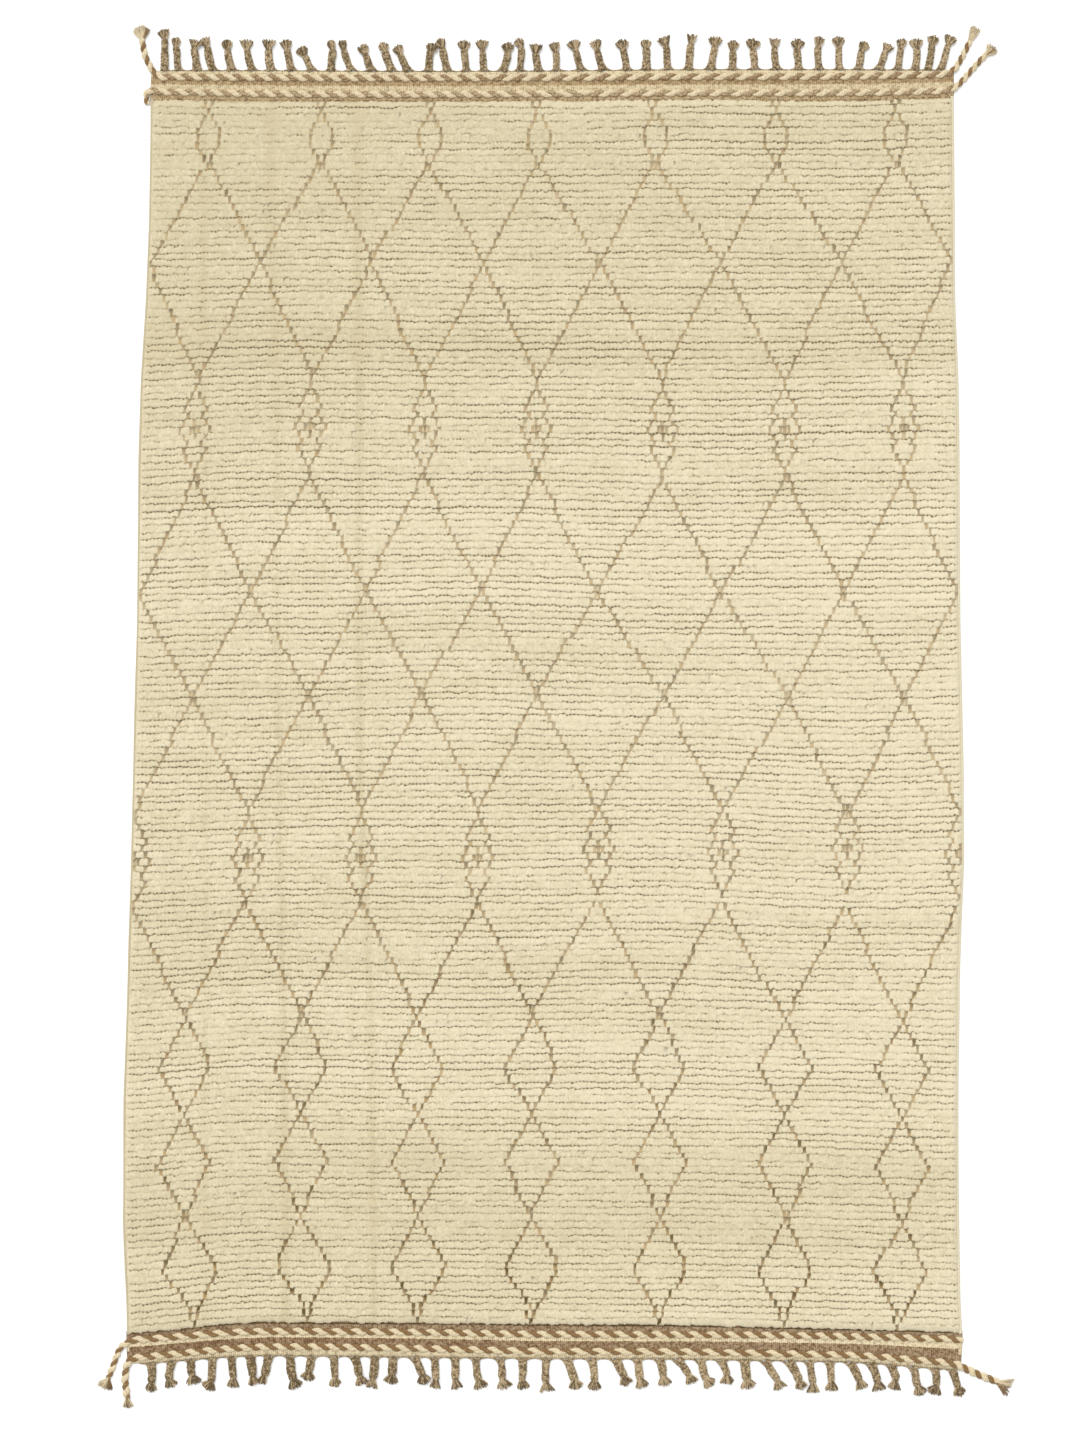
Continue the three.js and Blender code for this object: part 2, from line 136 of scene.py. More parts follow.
# Stretches of row grooves that show darker or fainter: the row, from and to across, and how much.
DARK_COURSES = (
    (141, 0.0, 0.75, 0.35), (142, 0.1, 1.0, 0.3), (146, 0.3, 1.0, 0.3), (129, 0.5, 1.0, 1.0),
    (126, 0.0, 0.6, 0.4), (122, 0.0, 0.5, 0.4), (118, 0.0, 0.45, 0.4), (104, 0.1, 0.7, 0.5),
    (103, 0.3, 0.8, 0.3), (72, 0.0, 1.0, 0.35), (59, 0.0, 0.55, 0.5), (58, 0.3, 1.0, 0.35),
    (50, 0.0, 0.8, 0.45), (49, 0.2, 1.0, 0.3), (37, 0.0, 0.6, 0.45), (150, 0.4, 1.0, 0.3),
    (176, 0.15, 0.36, 0.6), (175, 0.7, 0.87, 0.5), (173, 0.0, 0.6, -0.4), (172, 0.0, 1.0, -0.45),
    (171, 0.6, 1.0, 0.35), (170, 0.0, 0.4, -0.3), (169, 0.0, 0.7, -0.35),
)
COURSE_FADE = 0.08
# How far grooves open: on the whole, less where they are worn, in dashes, stretches and ragged edges by
# their reach in columns, by row and by point.
MEAN_GROOVE = 0.42
WORN_GROOVE = 0.3
GROOVE_CURVES = ((17, 0.24), (70, 0.22), (2.6, 0.4))
ROW_GROOVE = 0.2
POINT_GROOVE = 0.2
SIDE_FADE = 0.004
WIDEST_GROOVE = 1.15
OPEN_BETWEEN = 1.3
OPEN_BEHIND = 0.4
WORN_FROM = 145
WORN_ROWS = 32
# Old folds, drawn as painted shade: at each of the places along, how far across each lies and how dark
# its shade is.
CREASE_PLACES = (-1080.0, -630.0, -190.0, 250.0, 700.0, 1135.0)
CREASES = (
    ((-749, -749, -749, -749, -755, -753), (0.3, 0.4, 0.3, 0.2, 0.4, 0.6)),
    ((-571, -576, -584, -591, -591, -602), (0.95, 0.75, 0.6, 0.4, 0.4, 0.95)),
    ((-375, -384, -404, -408, -406, -412), (0.7, 0.5, 0.95, 0.65, 0.85, 1.0)),
)
CREASE_WIDTH = 9.0
CREASE_SHADE = 2.6
# Lots of undyed wool: the row where each starts, from the near end, and how light it is.
LOTS = ((0, 0.0), (12, -0.9), (18, -0.6), (25, 0.2), (30, 0.8), (48, 0.3), (60, 0.8), (90, 0.7),
        (96, 0.6), (103, 1.3), (118, 0.4), (130, 0.1), (138, -1.1), (144, -0.5), (156, -0.7), (168, -1.2))
LOT_BLEND = 1.5
# How much of the brown is left in the marks, by row.
BROWN_LEFT = ((0, 1.1), (15, 0.94), (60, 0.88), (66, 0.79), (104, 0.75), (110, 0.79), (176, 0.8))

# The lattice, in rows from the near end and in shares of the way across.
ARCH_COLUMNS = (0.070, 0.2095, 0.3466, 0.4863, 0.6385, 0.789, 0.931)
BETWEEN_COLUMNS = (0.003, 0.139, 0.278, 0.418, 0.559, 0.709, 0.859, 0.995)
# How many knots each arch column has strayed: at the foot, in the diamond chain and at the top. The
# rows are those two, where the chain ends with a part of its stray left, where none is, and the top.
ARCH_STRAY = ((3.0, 0.7, 1.0), (1.5, 0.8, 1.0), (0.7, 1.6, 0.0), (0.0, 0.4, -1.0),
              (0.0, 0.9, -2.7), (-0.5, 0.9, -2.5), (-1.5, 0.2, -0.8))
STRAY_ROWS = (0, 16, 45, 125, 176)
STRAY_LEFT = 0.4
# Pairs of levels that straight slanting lines join: the row on an arch column, then between columns.
SLANTS = ((167.6, 153.1), (136.0, 153.1), (122.2, 105.5), (90.6, 105.5), (90.6, 73.9), (44.1, 60.9))
ARCH_LANTERN_ROW = 129
BETWEEN_LANTERN_ROWS = (67, 67, 67, 67, 68, 68, 69, 68)
TOP_MOTIF_ROW = 176
# A lantern from its middle row outward, and the top motif from the far end: knots from the column.
LANTERN = ((0, 1, 4), (0, 3), (2,), (3,), (2,), (1,), (0,))
TOP_MOTIF = ((1,), (0,), (1,), (2,), (3,), (3,), (3,), (2,), (1,), (0,))
# The chain of small diamonds: top, widest and bottom row of each; below the last stands a stem.
CHAIN = ((44.1, 36.7, 29.9), (29.9, 23.0, 15.3), (15.3, 7.8, 2.0))
CHAIN_HALF_WIDTH = 7
STEM = ((0,), (1,), (1,))

# The flat-woven ends: where lines lie, from the pile at 0 over the inner cord at 1 and the outer cord
# at 2 to the edge at 3.
BAND_STEPS = (0, 0.2, 0.36, 0.66, 1, 1.2, 1.4, 1.52, 1.64, 1.8, 2, 2.33, 2.66, 3)
BAND_TOP = 4.5
RIBS_ACROSS = 416
PICKS = 7.0
# Where the brown stripe between the cords starts, the brown, and how much of it is in the cream stripe,
# beside the pile, where a share over one paints the pile edge's shadow, and in the inner brown stripe.
WOVEN_ENDS = {
    "far": {"break": 1.52, "brown": "faded_brown", "cream": 0.22, "edge": 1.3, "inner": 0.82},
    "near": {"break": 1.4, "brown": "weave_brown", "cream": 0.0, "edge": 2.4, "inner": 0.87},
}
OUTER_STRIPE_DYE = 0.96
EDGE_STRIPE_DYE = 0.06
FOUNDATION_BOTTOM = 0.3
FOUNDATION_TOP = 3.0
SIDE_CENTRE = 4.2

# Fringe, by the same chart as the solids: a digit for each gap and length, and a letter for each lean
# with i for upright. The dyes are how dark the wool is at each of the places across.
FRINGES = {
    "far": {
        "girth": 0.94,
        "edge": "far_edge",
        "outward": 1,
        "first_root": -839,
        "ends": (-850, 898),
        "gaps": "1424545545552544343438674656666655454300",
        "leans": "jggdedfebjbccbjeghnjfidcfjhklihghhhlolkmp",
        "lengths": "84343333033121243324123333454233344213355",
        "dyes": (0.58, 0.55, 0.57, 0.55, 0.56, 0.5, 0.52, 0.51),
    },
    "near": {
        "girth": 1.04,
        "edge": "near_edge",
        "outward": -1,
        "first_root": -868,
        "ends": (-896, 926),
        "gaps": "54644456655455558675876637575755555663",
        "leans": "jgjhjkekgjnhgpjjkkihplpkmtmojsrlkqpnmkm",
        "lengths": "210432240323113333343312102022232110211",
        "dyes": (0.74, 0.7, 0.64, 0.53, 0.43, 0.43, 0.5, 0.62),
    },
}
DYE_PLACES = (-780.0, -550.0, -321.0, -92.0, 137.0, 366.0, 595.0, 824.0)
CHART_GAP = (28, 3.5)
CHART_LENGTH = (56, 4.5)
CHART_LEAN_STEP = 3.5
BRAID_BOW = 0.85
BRAID_WIDTH = 15.0
BRAID_START = 3.0
BRAID_SPACING = 1.0
BRAID_CENTRE = 4.8
BRAID_POINTS = 12
FRAY_WIDTH = 27.0
FRAY_LENGTH = 22.0
BRAID_FIBRES = 22
CORD_FIBRES = 40
# The half width of a brush of fibres at its neck, and how far they spread up and down there and at
# their ends, which stay clear of the floor.
NECK_REACH = 3.2
NECK_RISE = 1.3
END_RISE = 2.6
LOWEST_FIBRE = 1.1
# The warps that run into a braid: the share of the way out to the next one, the distance from the
# cloth, the height and the girth at each point.
GATHERED = np.array([
    (1.0, 1.0, 2.4, 0.6), (0.75, 1.2, 2.6, 0.7), (0.5, 2.0, 3.0, 1.0), (0.3, 5.0, 3.6, 1.5),
    (0.16, 13.0, 4.2, 1.3),
], dtype=[("share", float), ("reach", float), ("height", float), ("girth", float)])

# Twined cords, by the band line that each follows: the length of a turn at each of the places, the share
# where the slant changes hand, the two tails' routes, the width and length of their frayed ends and the
# dyes across them, how brown the brown yarn is, and how much thinner than the cream one.
CORD_SEAT = 2.6
CORD_LOWEST = 0.5
CORD_HALF_HEIGHT = 2.9
TAIL_BLEND = 20.0
CORDS = {
    "far_outer": {
        "turns": (38.9, 37.8, 39.0, 47.0, 49.0, 47.8, 42.3),
        "hand_change": 0.43,
        "start": [(-890, 1540, 0), (-888, 1513, 0), (-887, 1496, 0), (-882, 1468, 0),
                  (-872, 1446, 0.5), (-861, 1428, 2.2), (-848, 1419, 2.6)],
        "end": [(904, 1427, 2.6), (918, 1436, 2.5), (930, 1454, 0), (940, 1473, 0),
                (951, 1495, 0), (968, 1534, 0)],
        "frays": ((34, 30), (17, 34)),
        "frayed_dyes": ((0.8, 0.05, 0.05, 0.05), (0.05, 0.05, 0.05, 0.25)),
        "dye": 0.73,
        "tail_girths": (0.9, 0.86),
        "thinning": 0.15,
    },
    "far_inner": {
        "turns": (38.9, 40.1, 40.1, 46.7, 50.1, 47.8, 42.3),
        "hand_change": 0.52,
        "start": [(-876, 1358, 0.4), (-879, 1371, 1.6), (-877, 1383, 2.2), (-868, 1389, 2.6)],
        "end": [(903, 1390, 2.6), (920, 1396, 2.5), (936, 1411, 0.5), (952, 1429, 0),
                (968, 1447, 0), (986, 1466, 0), (1011, 1485, 0)],
        "frays": ((0, 0), (24, 24)),
        "frayed_dyes": ((), (0.05, 0.6, 0.7, 0.05)),
        "dye": 0.59,
        "tail_girths": (0.7, 0.86),
        "thinning": 0.18,
    },
    "near_inner": {
        "turns": (44.5, 42.3, 40.1, 43.4, 41.2, 40.1, 38.9),
        "hand_change": 1.0,
        "start": [(-974, -1501, 0), (-960, -1466, 0), (-950, -1440, 0), (-942, -1417, 0.8),
                  (-930, -1401, 2.5), (-911, -1391, 2.6)],
        "end": [(936, -1392, 2.6)],
        "frays": ((32, 24), (0, 0)),
        "frayed_dyes": ((0.05, 0.05, 0.7, 0.9), ()),
        "dye": 1.0,
        "tail_girths": (0.88, 1.0),
        "thinning": 0.2,
    },
    "near_outer": {
        "turns": (38.9, 38.9, 41.2, 49.0, 49.0, 46.7, 40.1),
        "hand_change": 1.0,
        "start": [(-920, -1545, 0), (-922, -1515, 0), (-925, -1491, 0), (-926, -1469, 0),
                  (-923, -1450, 2.2), (-917, -1436, 2.6), (-904, -1430, 2.6)],
        "end": [(911, -1442, 2.6), (927, -1445, 2.6), (942, -1453, 2.2), (962, -1462, 0.5),
                (982, -1471, 0), (1004, -1479, 0), (1044, -1499, 0)],
        "frays": ((18, 20), (38, 32)),
        "frayed_dyes": ((0.05, 0.8, 0.8, 0.05), (0.9, 0.7, 0.05, 0.05)),
        "dye": 1.0,
        "tail_girths": (1.02, 1.1),
        "thinning": 0.2,
    },
}
TURN_PLACES = (-617.0, -395.0, -172.0, 50.0, 273.0, 495.0, 718.0)
TAIL_TURN = 31.0

# The camera hangs straight over the rug: the place above which it hangs and the height of its view.
VIEW_CENTRE = (-3.3, -11.1)
VIEW_HEIGHT = 3204.0
CAMERA_HEIGHT = 6000.0
SENSOR = 36.0

# The arithmetic node, which shader and geometry trees share.
MATH = "ShaderNodeMath"


def linear(colour):
    """An sRGB hex colour as the linear RGBA that a shader reads."""
    parts = [int(colour[place:place + 2], 16) / 255 for place in (1, 3, 5)]
    return (*[c / 12.92 if c <= 0.04045 else ((c + 0.055) / 1.055) ** 2.4 for c in parts], 1.0)


def add(tree, kind, inputs=(), operation=None, **settings):
    """Adds a node, sets its operation and other settings, and links or sets its inputs.

    The inputs are given in order, or by name or number. A node given as an input stands for its first
    output that is in use.
    """
    node = tree.nodes.new(kind)
    if operation:
        node.operation = operation
    for name, value in settings.items():
        setattr(node, name, value)
    for key, value in inputs.items() if isinstance(inputs, dict) else enumerate(inputs):
        if isinstance(value, bpy.types.Node):
            value = next(socket for socket in value.outputs if socket.enabled)
        if isinstance(value, bpy.types.NodeSocket):
            tree.links.new(value, node.inputs[key])
        else:
            node.inputs[key].default_value = value
    return node


class RugSizes(bpy.types.PropertyGroup):
    """The sizes of the rug's yarns and relief."""

    pile_height: bpy.props.FloatProperty(
        name="Pile Height", description="Height of a row's crest over the foundation",
        default=12.0 * MM, unit="LENGTH")
    groove_depth: bpy.props.FloatProperty(
        name="Groove Depth", description="How far the widest groove between rows opens",
        default=2.2 * MM, unit="LENGTH")
    knot_cleft: bpy.props.FloatProperty(
        name="Knot Cleft", description="Depth of the cleft between two knots of a row",
        default=0.35 * MM, unit="LENGTH")
    unevenness: bpy.props.FloatProperty(
        name="Unevenness", description="How much the sheared knots differ in height",
        default=0.5 * MM, unit="LENGTH")
    rib_depth: bpy.props.FloatProperty(
        name="Rib Depth", description="Depth of the clefts between the ribs of the woven ends",
        default=0.5 * MM, unit="LENGTH")
    cord_yarn: bpy.props.FloatProperty(
        name="Cord Yarn", description="Radius of each of a twined cord's two yarns",
        default=4.3 * MM, unit="LENGTH")
    braid_strand: bpy.props.FloatProperty(
        name="Braid Strand", description="Radius of each of a braid's three strands",
        default=4.1 * MM, unit="LENGTH")
    braid_turn: bpy.props.FloatProperty(
        name="Braid Turn", description="Length over which a strand crosses the braid and comes back",
        default=23.0 * MM, unit="LENGTH")
    overcast_pitch: bpy.props.FloatProperty(
        name="Overcast Pitch", description="Distance between the wraps along a side",
        default=7.7 * MM, unit="LENGTH")


class RugColours(bpy.types.PropertyGroup):
    """The colours of the rug's wools."""

    cream_light: bpy.props.StringProperty(
        name="Light Cream", description="Undyed pile where it is lightest", default="#DACFB2")
    cream_dark: bpy.props.StringProperty(
        name="Dark Cream", description="Undyed pile where it is darkest", default="#C4B795")
    # Painted shade: the dark of the rows' grooves, which also darkens the weave's clefts and the back's
    # hollows; the overcast sides take it as their dark yarn.
    groove: bpy.props.StringProperty(
        name="Groove", description="The shaded foundation between two rows", default="#8A7B59")
    # Painted shade: the pile's brown knots run from the tan at their lit near side to the brown at their
    # shaded far side.
    knot_brown: bpy.props.StringProperty(
        name="Brown Knot", description="Brown knots at their shaded far side", default="#5C4B29")
    knot_tan: bpy.props.StringProperty(
        name="Tan Knot", description="Brown knots at their light near side", default="#AE9163")
    weave_cream: bpy.props.StringProperty(
        name="Woven Cream", description="Cream stripes of the woven ends", default="#DACBA8")
    weave_brown: bpy.props.StringProperty(
        name="Woven Brown", description="Brown stripes of the near woven end", default="#7F6144")
    faded_brown: bpy.props.StringProperty(
        name="Faded Brown", description="Brown stripes and yarns of the far end", default="#A68C66")
    cord_cream: bpy.props.StringProperty(
        name="Cord Cream", description="The cords' cream yarn", default="#D2C3A2")
    cord_brown: bpy.props.StringProperty(
        name="Cord Brown", description="The cords' brown yarn", default="#795C37")
    # Also the painted shadow that the pile's edge casts on the woven ends.
    warp_dark: bpy.props.StringProperty(
        name="Dark Warp", description="The fringe's darkest fibres", default="#5E4D31")
    warp_light: bpy.props.StringProperty(
        name="Light Warp", description="The fringe's lightest fibres", default="#B5A07E")
    floor: bpy.props.StringProperty(
        name="Floor", description="The pale floor", default="#FAFAF9")


def left_side(along):
    """How far across the left side lies at a place along the rug."""
    return np.interp(along, SIDES["along"], SIDES["left"])


def right_side(along):
    """How far across the right side lies at a place along the rug."""
    return np.interp(along, SIDES["along"], SIDES["right"])


def across_at(share, along, margin=0.0):
    """The place across at a share of the way from one side to the other, inside a margin."""
    left = left_side(along) + margin
    right = right_side(along) - margin
    return left + (right - left) * share


def band_line(name, share):
    """How far along a line of the end bands lies, with the bends of its table rounded."""
    steps = np.linspace(-BAND_ROUNDING, BAND_ROUNDING, 5)
    return np.mean([np.interp(share + step, BANDS["across"], BANDS[name]) for step in steps], axis=0)


def share_at(x, along):
    """The share of the way across at a place."""
    return (x - left_side(along)) / (right_side(along) - left_side(along))


def band_line_at(name, x):
    """How far along a band line lies at a place across, in millimetres."""
    middle = BANDS[name].mean()
    return band_line(name, share_at(x, middle))


def pile_along(share, progress):
    """How far along a place in the pile lies, by its progress from the near rows to the far ones."""
    near = band_line("near_pile", share)
    far = band_line("far_pile", share)
    sway = sum(part * np.sin(a * share + b * progress + start) for a, b, part, start in WAVES)
    wander = 4 * ROW_WANDER * progress * (1 - progress)
    return near + (far - near) * progress + wander * sway


def smooth_noise(rng, rows, count, reach):
    """Rows of smooth random curves from -1 to 1, with a new value every reach samples."""
    values = rng.uniform(-1, 1, (rows, int(count / reach) + 3))
    place = np.arange(count) / reach + rng.uniform(0, 1)
    step = place.astype(int)
    blend = place - step
    blend = blend * blend * (3 - 2 * blend)
    return values[:, step] * (1 - blend) + values[:, step + 1] * blend


def grid_faces(rows, columns):
    """The faces of a grid of points whose rows run to +X and follow each other to +Y, facing up."""
    number = np.arange(rows * columns).reshape(rows, columns)
    corners = (number[:-1, :-1], number[:-1, 1:], number[1:, 1:], number[1:, :-1])
    return np.stack(corners, -1).reshape(-1, 4)


def set_attribute(mesh, name, domain, values):
    """Writes a float attribute on a mesh."""
    attribute = mesh.attributes.new(name, "FLOAT", domain)
    attribute.data.foreach_set("value", np.asarray(values, np.float32).ravel())


def get_attribute(mesh, name):
    """Reads a float attribute of a mesh."""
    values = np.zeros(len(mesh.attributes[name].data), np.float32)
    mesh.attributes[name].data.foreach_get("value", values)
    return values


def make_mesh(name, points, faces, uv=None, on_points=(), on_faces=()):
    """A mesh of four-sided faces from points in the rug's millimetres, with its uv and attributes."""
    mesh = bpy.data.meshes.new(name)
    places = (np.asarray(points, float).reshape(-1, 3) + FRAME_SHIFT) * MM
    mesh.vertices.add(len(places))
    mesh.vertices.foreach_set("co", places.astype(np.float32).ravel())
    mesh.loops.add(faces.size)
    mesh.loops.foreach_set("vertex_index", faces.astype(np.int32).ravel())
    mesh.polygons.add(len(faces))
    mesh.polygons.foreach_set("loop_start", np.arange(0, faces.size, 4, dtype=np.int32))
    mesh.update(calc_edges=True)
    if uv is not None:
        layer = mesh.uv_layers.new(name="knots")
        layer.data.foreach_set("uv", uv.reshape(-1, 2)[faces.ravel()].astype(np.float32).ravel())
    for label, values in dict(on_points).items():
        set_attribute(mesh, label, "POINT", values)
    for label, values in dict(on_faces).items():
        set_attribute(mesh, label, "FACE", values)
    return mesh


def make_lines(name, lines, **marks):
    """A mesh of open lines from points in the rug's millimetres.

    The marks are attributes on the points: one value for all, or a value or a list for each line.
    """
    mesh = bpy.data.meshes.new(name)
    places = (np.vstack(lines) + FRAME_SHIFT) * MM
    counts = np.array([len(line) for line in lines])
    followed = np.ones(len(places), bool)
    followed[np.cumsum(counts) - 1] = False
    first = np.flatnonzero(followed)
    mesh.vertices.add(len(places))
    mesh.vertices.foreach_set("co", places.astype(np.float32).ravel())
    mesh.edges.add(len(first))
    mesh.edges.foreach_set("vertices", np.stack([first, first + 1], 1).astype(np.int32).ravel())
    for label, values in marks.items():
        values = [values] * len(lines) if np.isscalar(values) else values
        spread = [np.broadcast_to(value, count) for value, count in zip(values, counts)]
        set_attribute(mesh, label, "POINT", np.concatenate(spread))
    mesh.update()
    return mesh


def run_tree(name, mesh, tree, **values):
    """Puts a mesh through a geometry tree and returns the result as a plain mesh object."""
    source = bpy.data.objects.new(name + "_source", mesh)
    bpy.context.scene.collection.objects.link(source)
    modifier = source.modifiers.new("shape", "NODES")
    modifier.node_group = tree
    for item in tree.interface.items_tree:
        label = item.name.lower().replace(" ", "_")
        if item.in_out == "INPUT" and label in values:
            modifier[item.identifier] = values[label]
    depsgraph = bpy.context.evaluated_depsgraph_get()
    made = bpy.data.meshes.new_from_object(
        source.evaluated_get(depsgraph), preserve_all_data_layers=True, depsgraph=depsgraph)
    bpy.data.objects.remove(source)
    made.name = name
    piece = bpy.data.objects.new(name, made)
    bpy.context.scene.collection.objects.link(piece)
    if not len(made.polygons):
        raise RuntimeError(f"{name} came out of its tree with no faces")
    return piece


def wrap_uv(mesh):
    """Gives tubes a uv of length along and turn around, from the attributes that their tree stored."""
    corner = np.zeros(len(mesh.loops), np.int32)
    mesh.loops.foreach_get("vertex_index", corner)
    starts = np.zeros(len(mesh.polygons), np.int32)
    mesh.polygons.foreach_get("loop_start", starts)
    counts = np.diff(np.append(starts, len(corner)))
    around = get_attribute(mesh, "around")[corner]
    widest = np.repeat(np.maximum.reduceat(around, starts), counts)
    around = np.where(widest - around > 0.5, around + 1, around)
    layer = mesh.uv_layers.new(name="yarn")
    layer.data.foreach_set("uv", np.stack([get_attribute(mesh, "along")[corner], around], 1).ravel())


def keep(piece, slot, *nodes):
    """Fixes a finished piece to the rug's one body, gives it its slot and hides the solids that it stands
    for.
    """
    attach(piece, "root")
    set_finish(piece, slot)
    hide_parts(*nodes)
    return piece


def lay_yarns(name, slot, node, tree, mesh, **values):
    """Lays a piece's yarns along the lines of a mesh, and keeps it."""
    piece = run_tree(name, mesh, tree, **values)
    wrap_uv(piece.data)
    return keep(piece, slot, node)


def new_tree(name, inputs):
    """A geometry tree and its input node, with named inputs given as name, socket, default and text."""
    tree = bpy.data.node_groups.new(name, "GeometryNodeTree")
    tree.interface.new_socket("Geometry", in_out="INPUT", socket_type="NodeSocketGeometry")
    for label, kind, default, text in inputs:
        socket = tree.interface.new_socket(label, in_out="INPUT", socket_type=kind, description=text)
        if default is not None:
            socket.default_value = default
    tree.interface.new_socket("Geometry", in_out="OUTPUT", socket_type="NodeSocketGeometry")
    return tree, tree.nodes.new("NodeGroupInput")


def end_tree(tree, entry, geometry):
    """Ends a tree: smooth faces, real geometry and the wool."""
    smooth = add(tree, "GeometryNodeSetShadeSmooth", {"Geometry": geometry})
    real = add(tree, "GeometryNodeRealizeInstances", {"Geometry": smooth})
    wool = add(tree, "GeometryNodeSetMaterial", {"Geometry": real, "Material": entry.outputs["Material"]})
    add(tree, "NodeGroupOutput", {"Geometry": wool})
    return tree


def relief_tree():
    """Raises a flat grid by its attributes: rows and ribs, their grooves, clefts and unevenness."""
    tree, entry = new_tree("rows and ribs", [
        ("Height", "NodeSocketFloat", 0.012, "Height of the highest rows or ribs"),
        ("Groove Depth", "NodeSocketFloat", 0.005, "Depth of the widest grooves"),
        ("Cleft Depth", "NodeSocketFloat", 0.0006, "Depth of the clefts between knots or ribs"),
        ("Unevenness", "NodeSocketFloat", 0.0005, "Random rise and fall"),
        ("Material", "NodeSocketMaterial", None, "The wool"),
    ])
    total = None
    for label, attribute, sign in (
        ("Height", "rise", 1.0), ("Groove Depth", "groove", -1.0),
        ("Cleft Depth", "cleft", -1.0), ("Unevenness", "wobble", 1.0),
    ):
        share = add(tree, "GeometryNodeInputNamedAttribute", {"Name": attribute})
        signed = add(tree, MATH, (share, sign), "MULTIPLY")
        part = add(tree, MATH, (signed, entry.outputs[label]), "MULTIPLY")
        total = part if total is None else add(tree, MATH, (total, part), "ADD")
    offset = add(tree, "ShaderNodeCombineXYZ", {"Z": total})
    raised = add(tree, "GeometryNodeSetPosition",
                 {"Geometry": entry.outputs["Geometry"], "Offset": offset})
    return end_tree(tree, entry, raised)


def sweep_ring(tree, entry, line, radius):
    """Sweeps a ring along lines into closed tubes, and marks how far round it each point lies."""
    upright = add(tree, "GeometryNodeSetCurveNormal", {"Curve": line}, mode="Z_UP")
    ring = add(tree, "GeometryNodeCurvePrimitiveCircle",
               {"Resolution": entry.outputs["Sides"], "Radius": 1.0})
    turn = add(tree, "GeometryNodeSplineParameter")
    profile = add(tree, "GeometryNodeStoreNamedAttribute",
                  {"Geometry": ring, "Name": "around", "Value": turn.outputs["Factor"]})
    return add(tree, "GeometryNodeCurveToMesh",
               {"Curve": upright, "Profile Curve": profile, "Scale": radius, "Fill Caps": True})


def press_flat(tree, entry, shape):
    """Presses tubes flat about the height of the lines that they follow."""
    place = add(tree, "GeometryNodeInputPosition")
    height = add(tree, "ShaderNodeSeparateXYZ", (place,))
    centre = add(tree, "GeometryNodeInputNamedAttribute", {"Name": "centre"})
    over = add(tree, MATH, (height.outputs["Z"], centre), "SUBTRACT")
    lost = add(tree, MATH, (entry.outputs["Flatness"], 1.0), "SUBTRACT")
    pressed = add(tree, MATH, (over, lost), "MULTIPLY")
    down = add(tree, "ShaderNodeCombineXYZ", {"Z": pressed})
    return add(tree, "GeometryNodeSetPosition", {"Geometry": shape, "Offset": down})


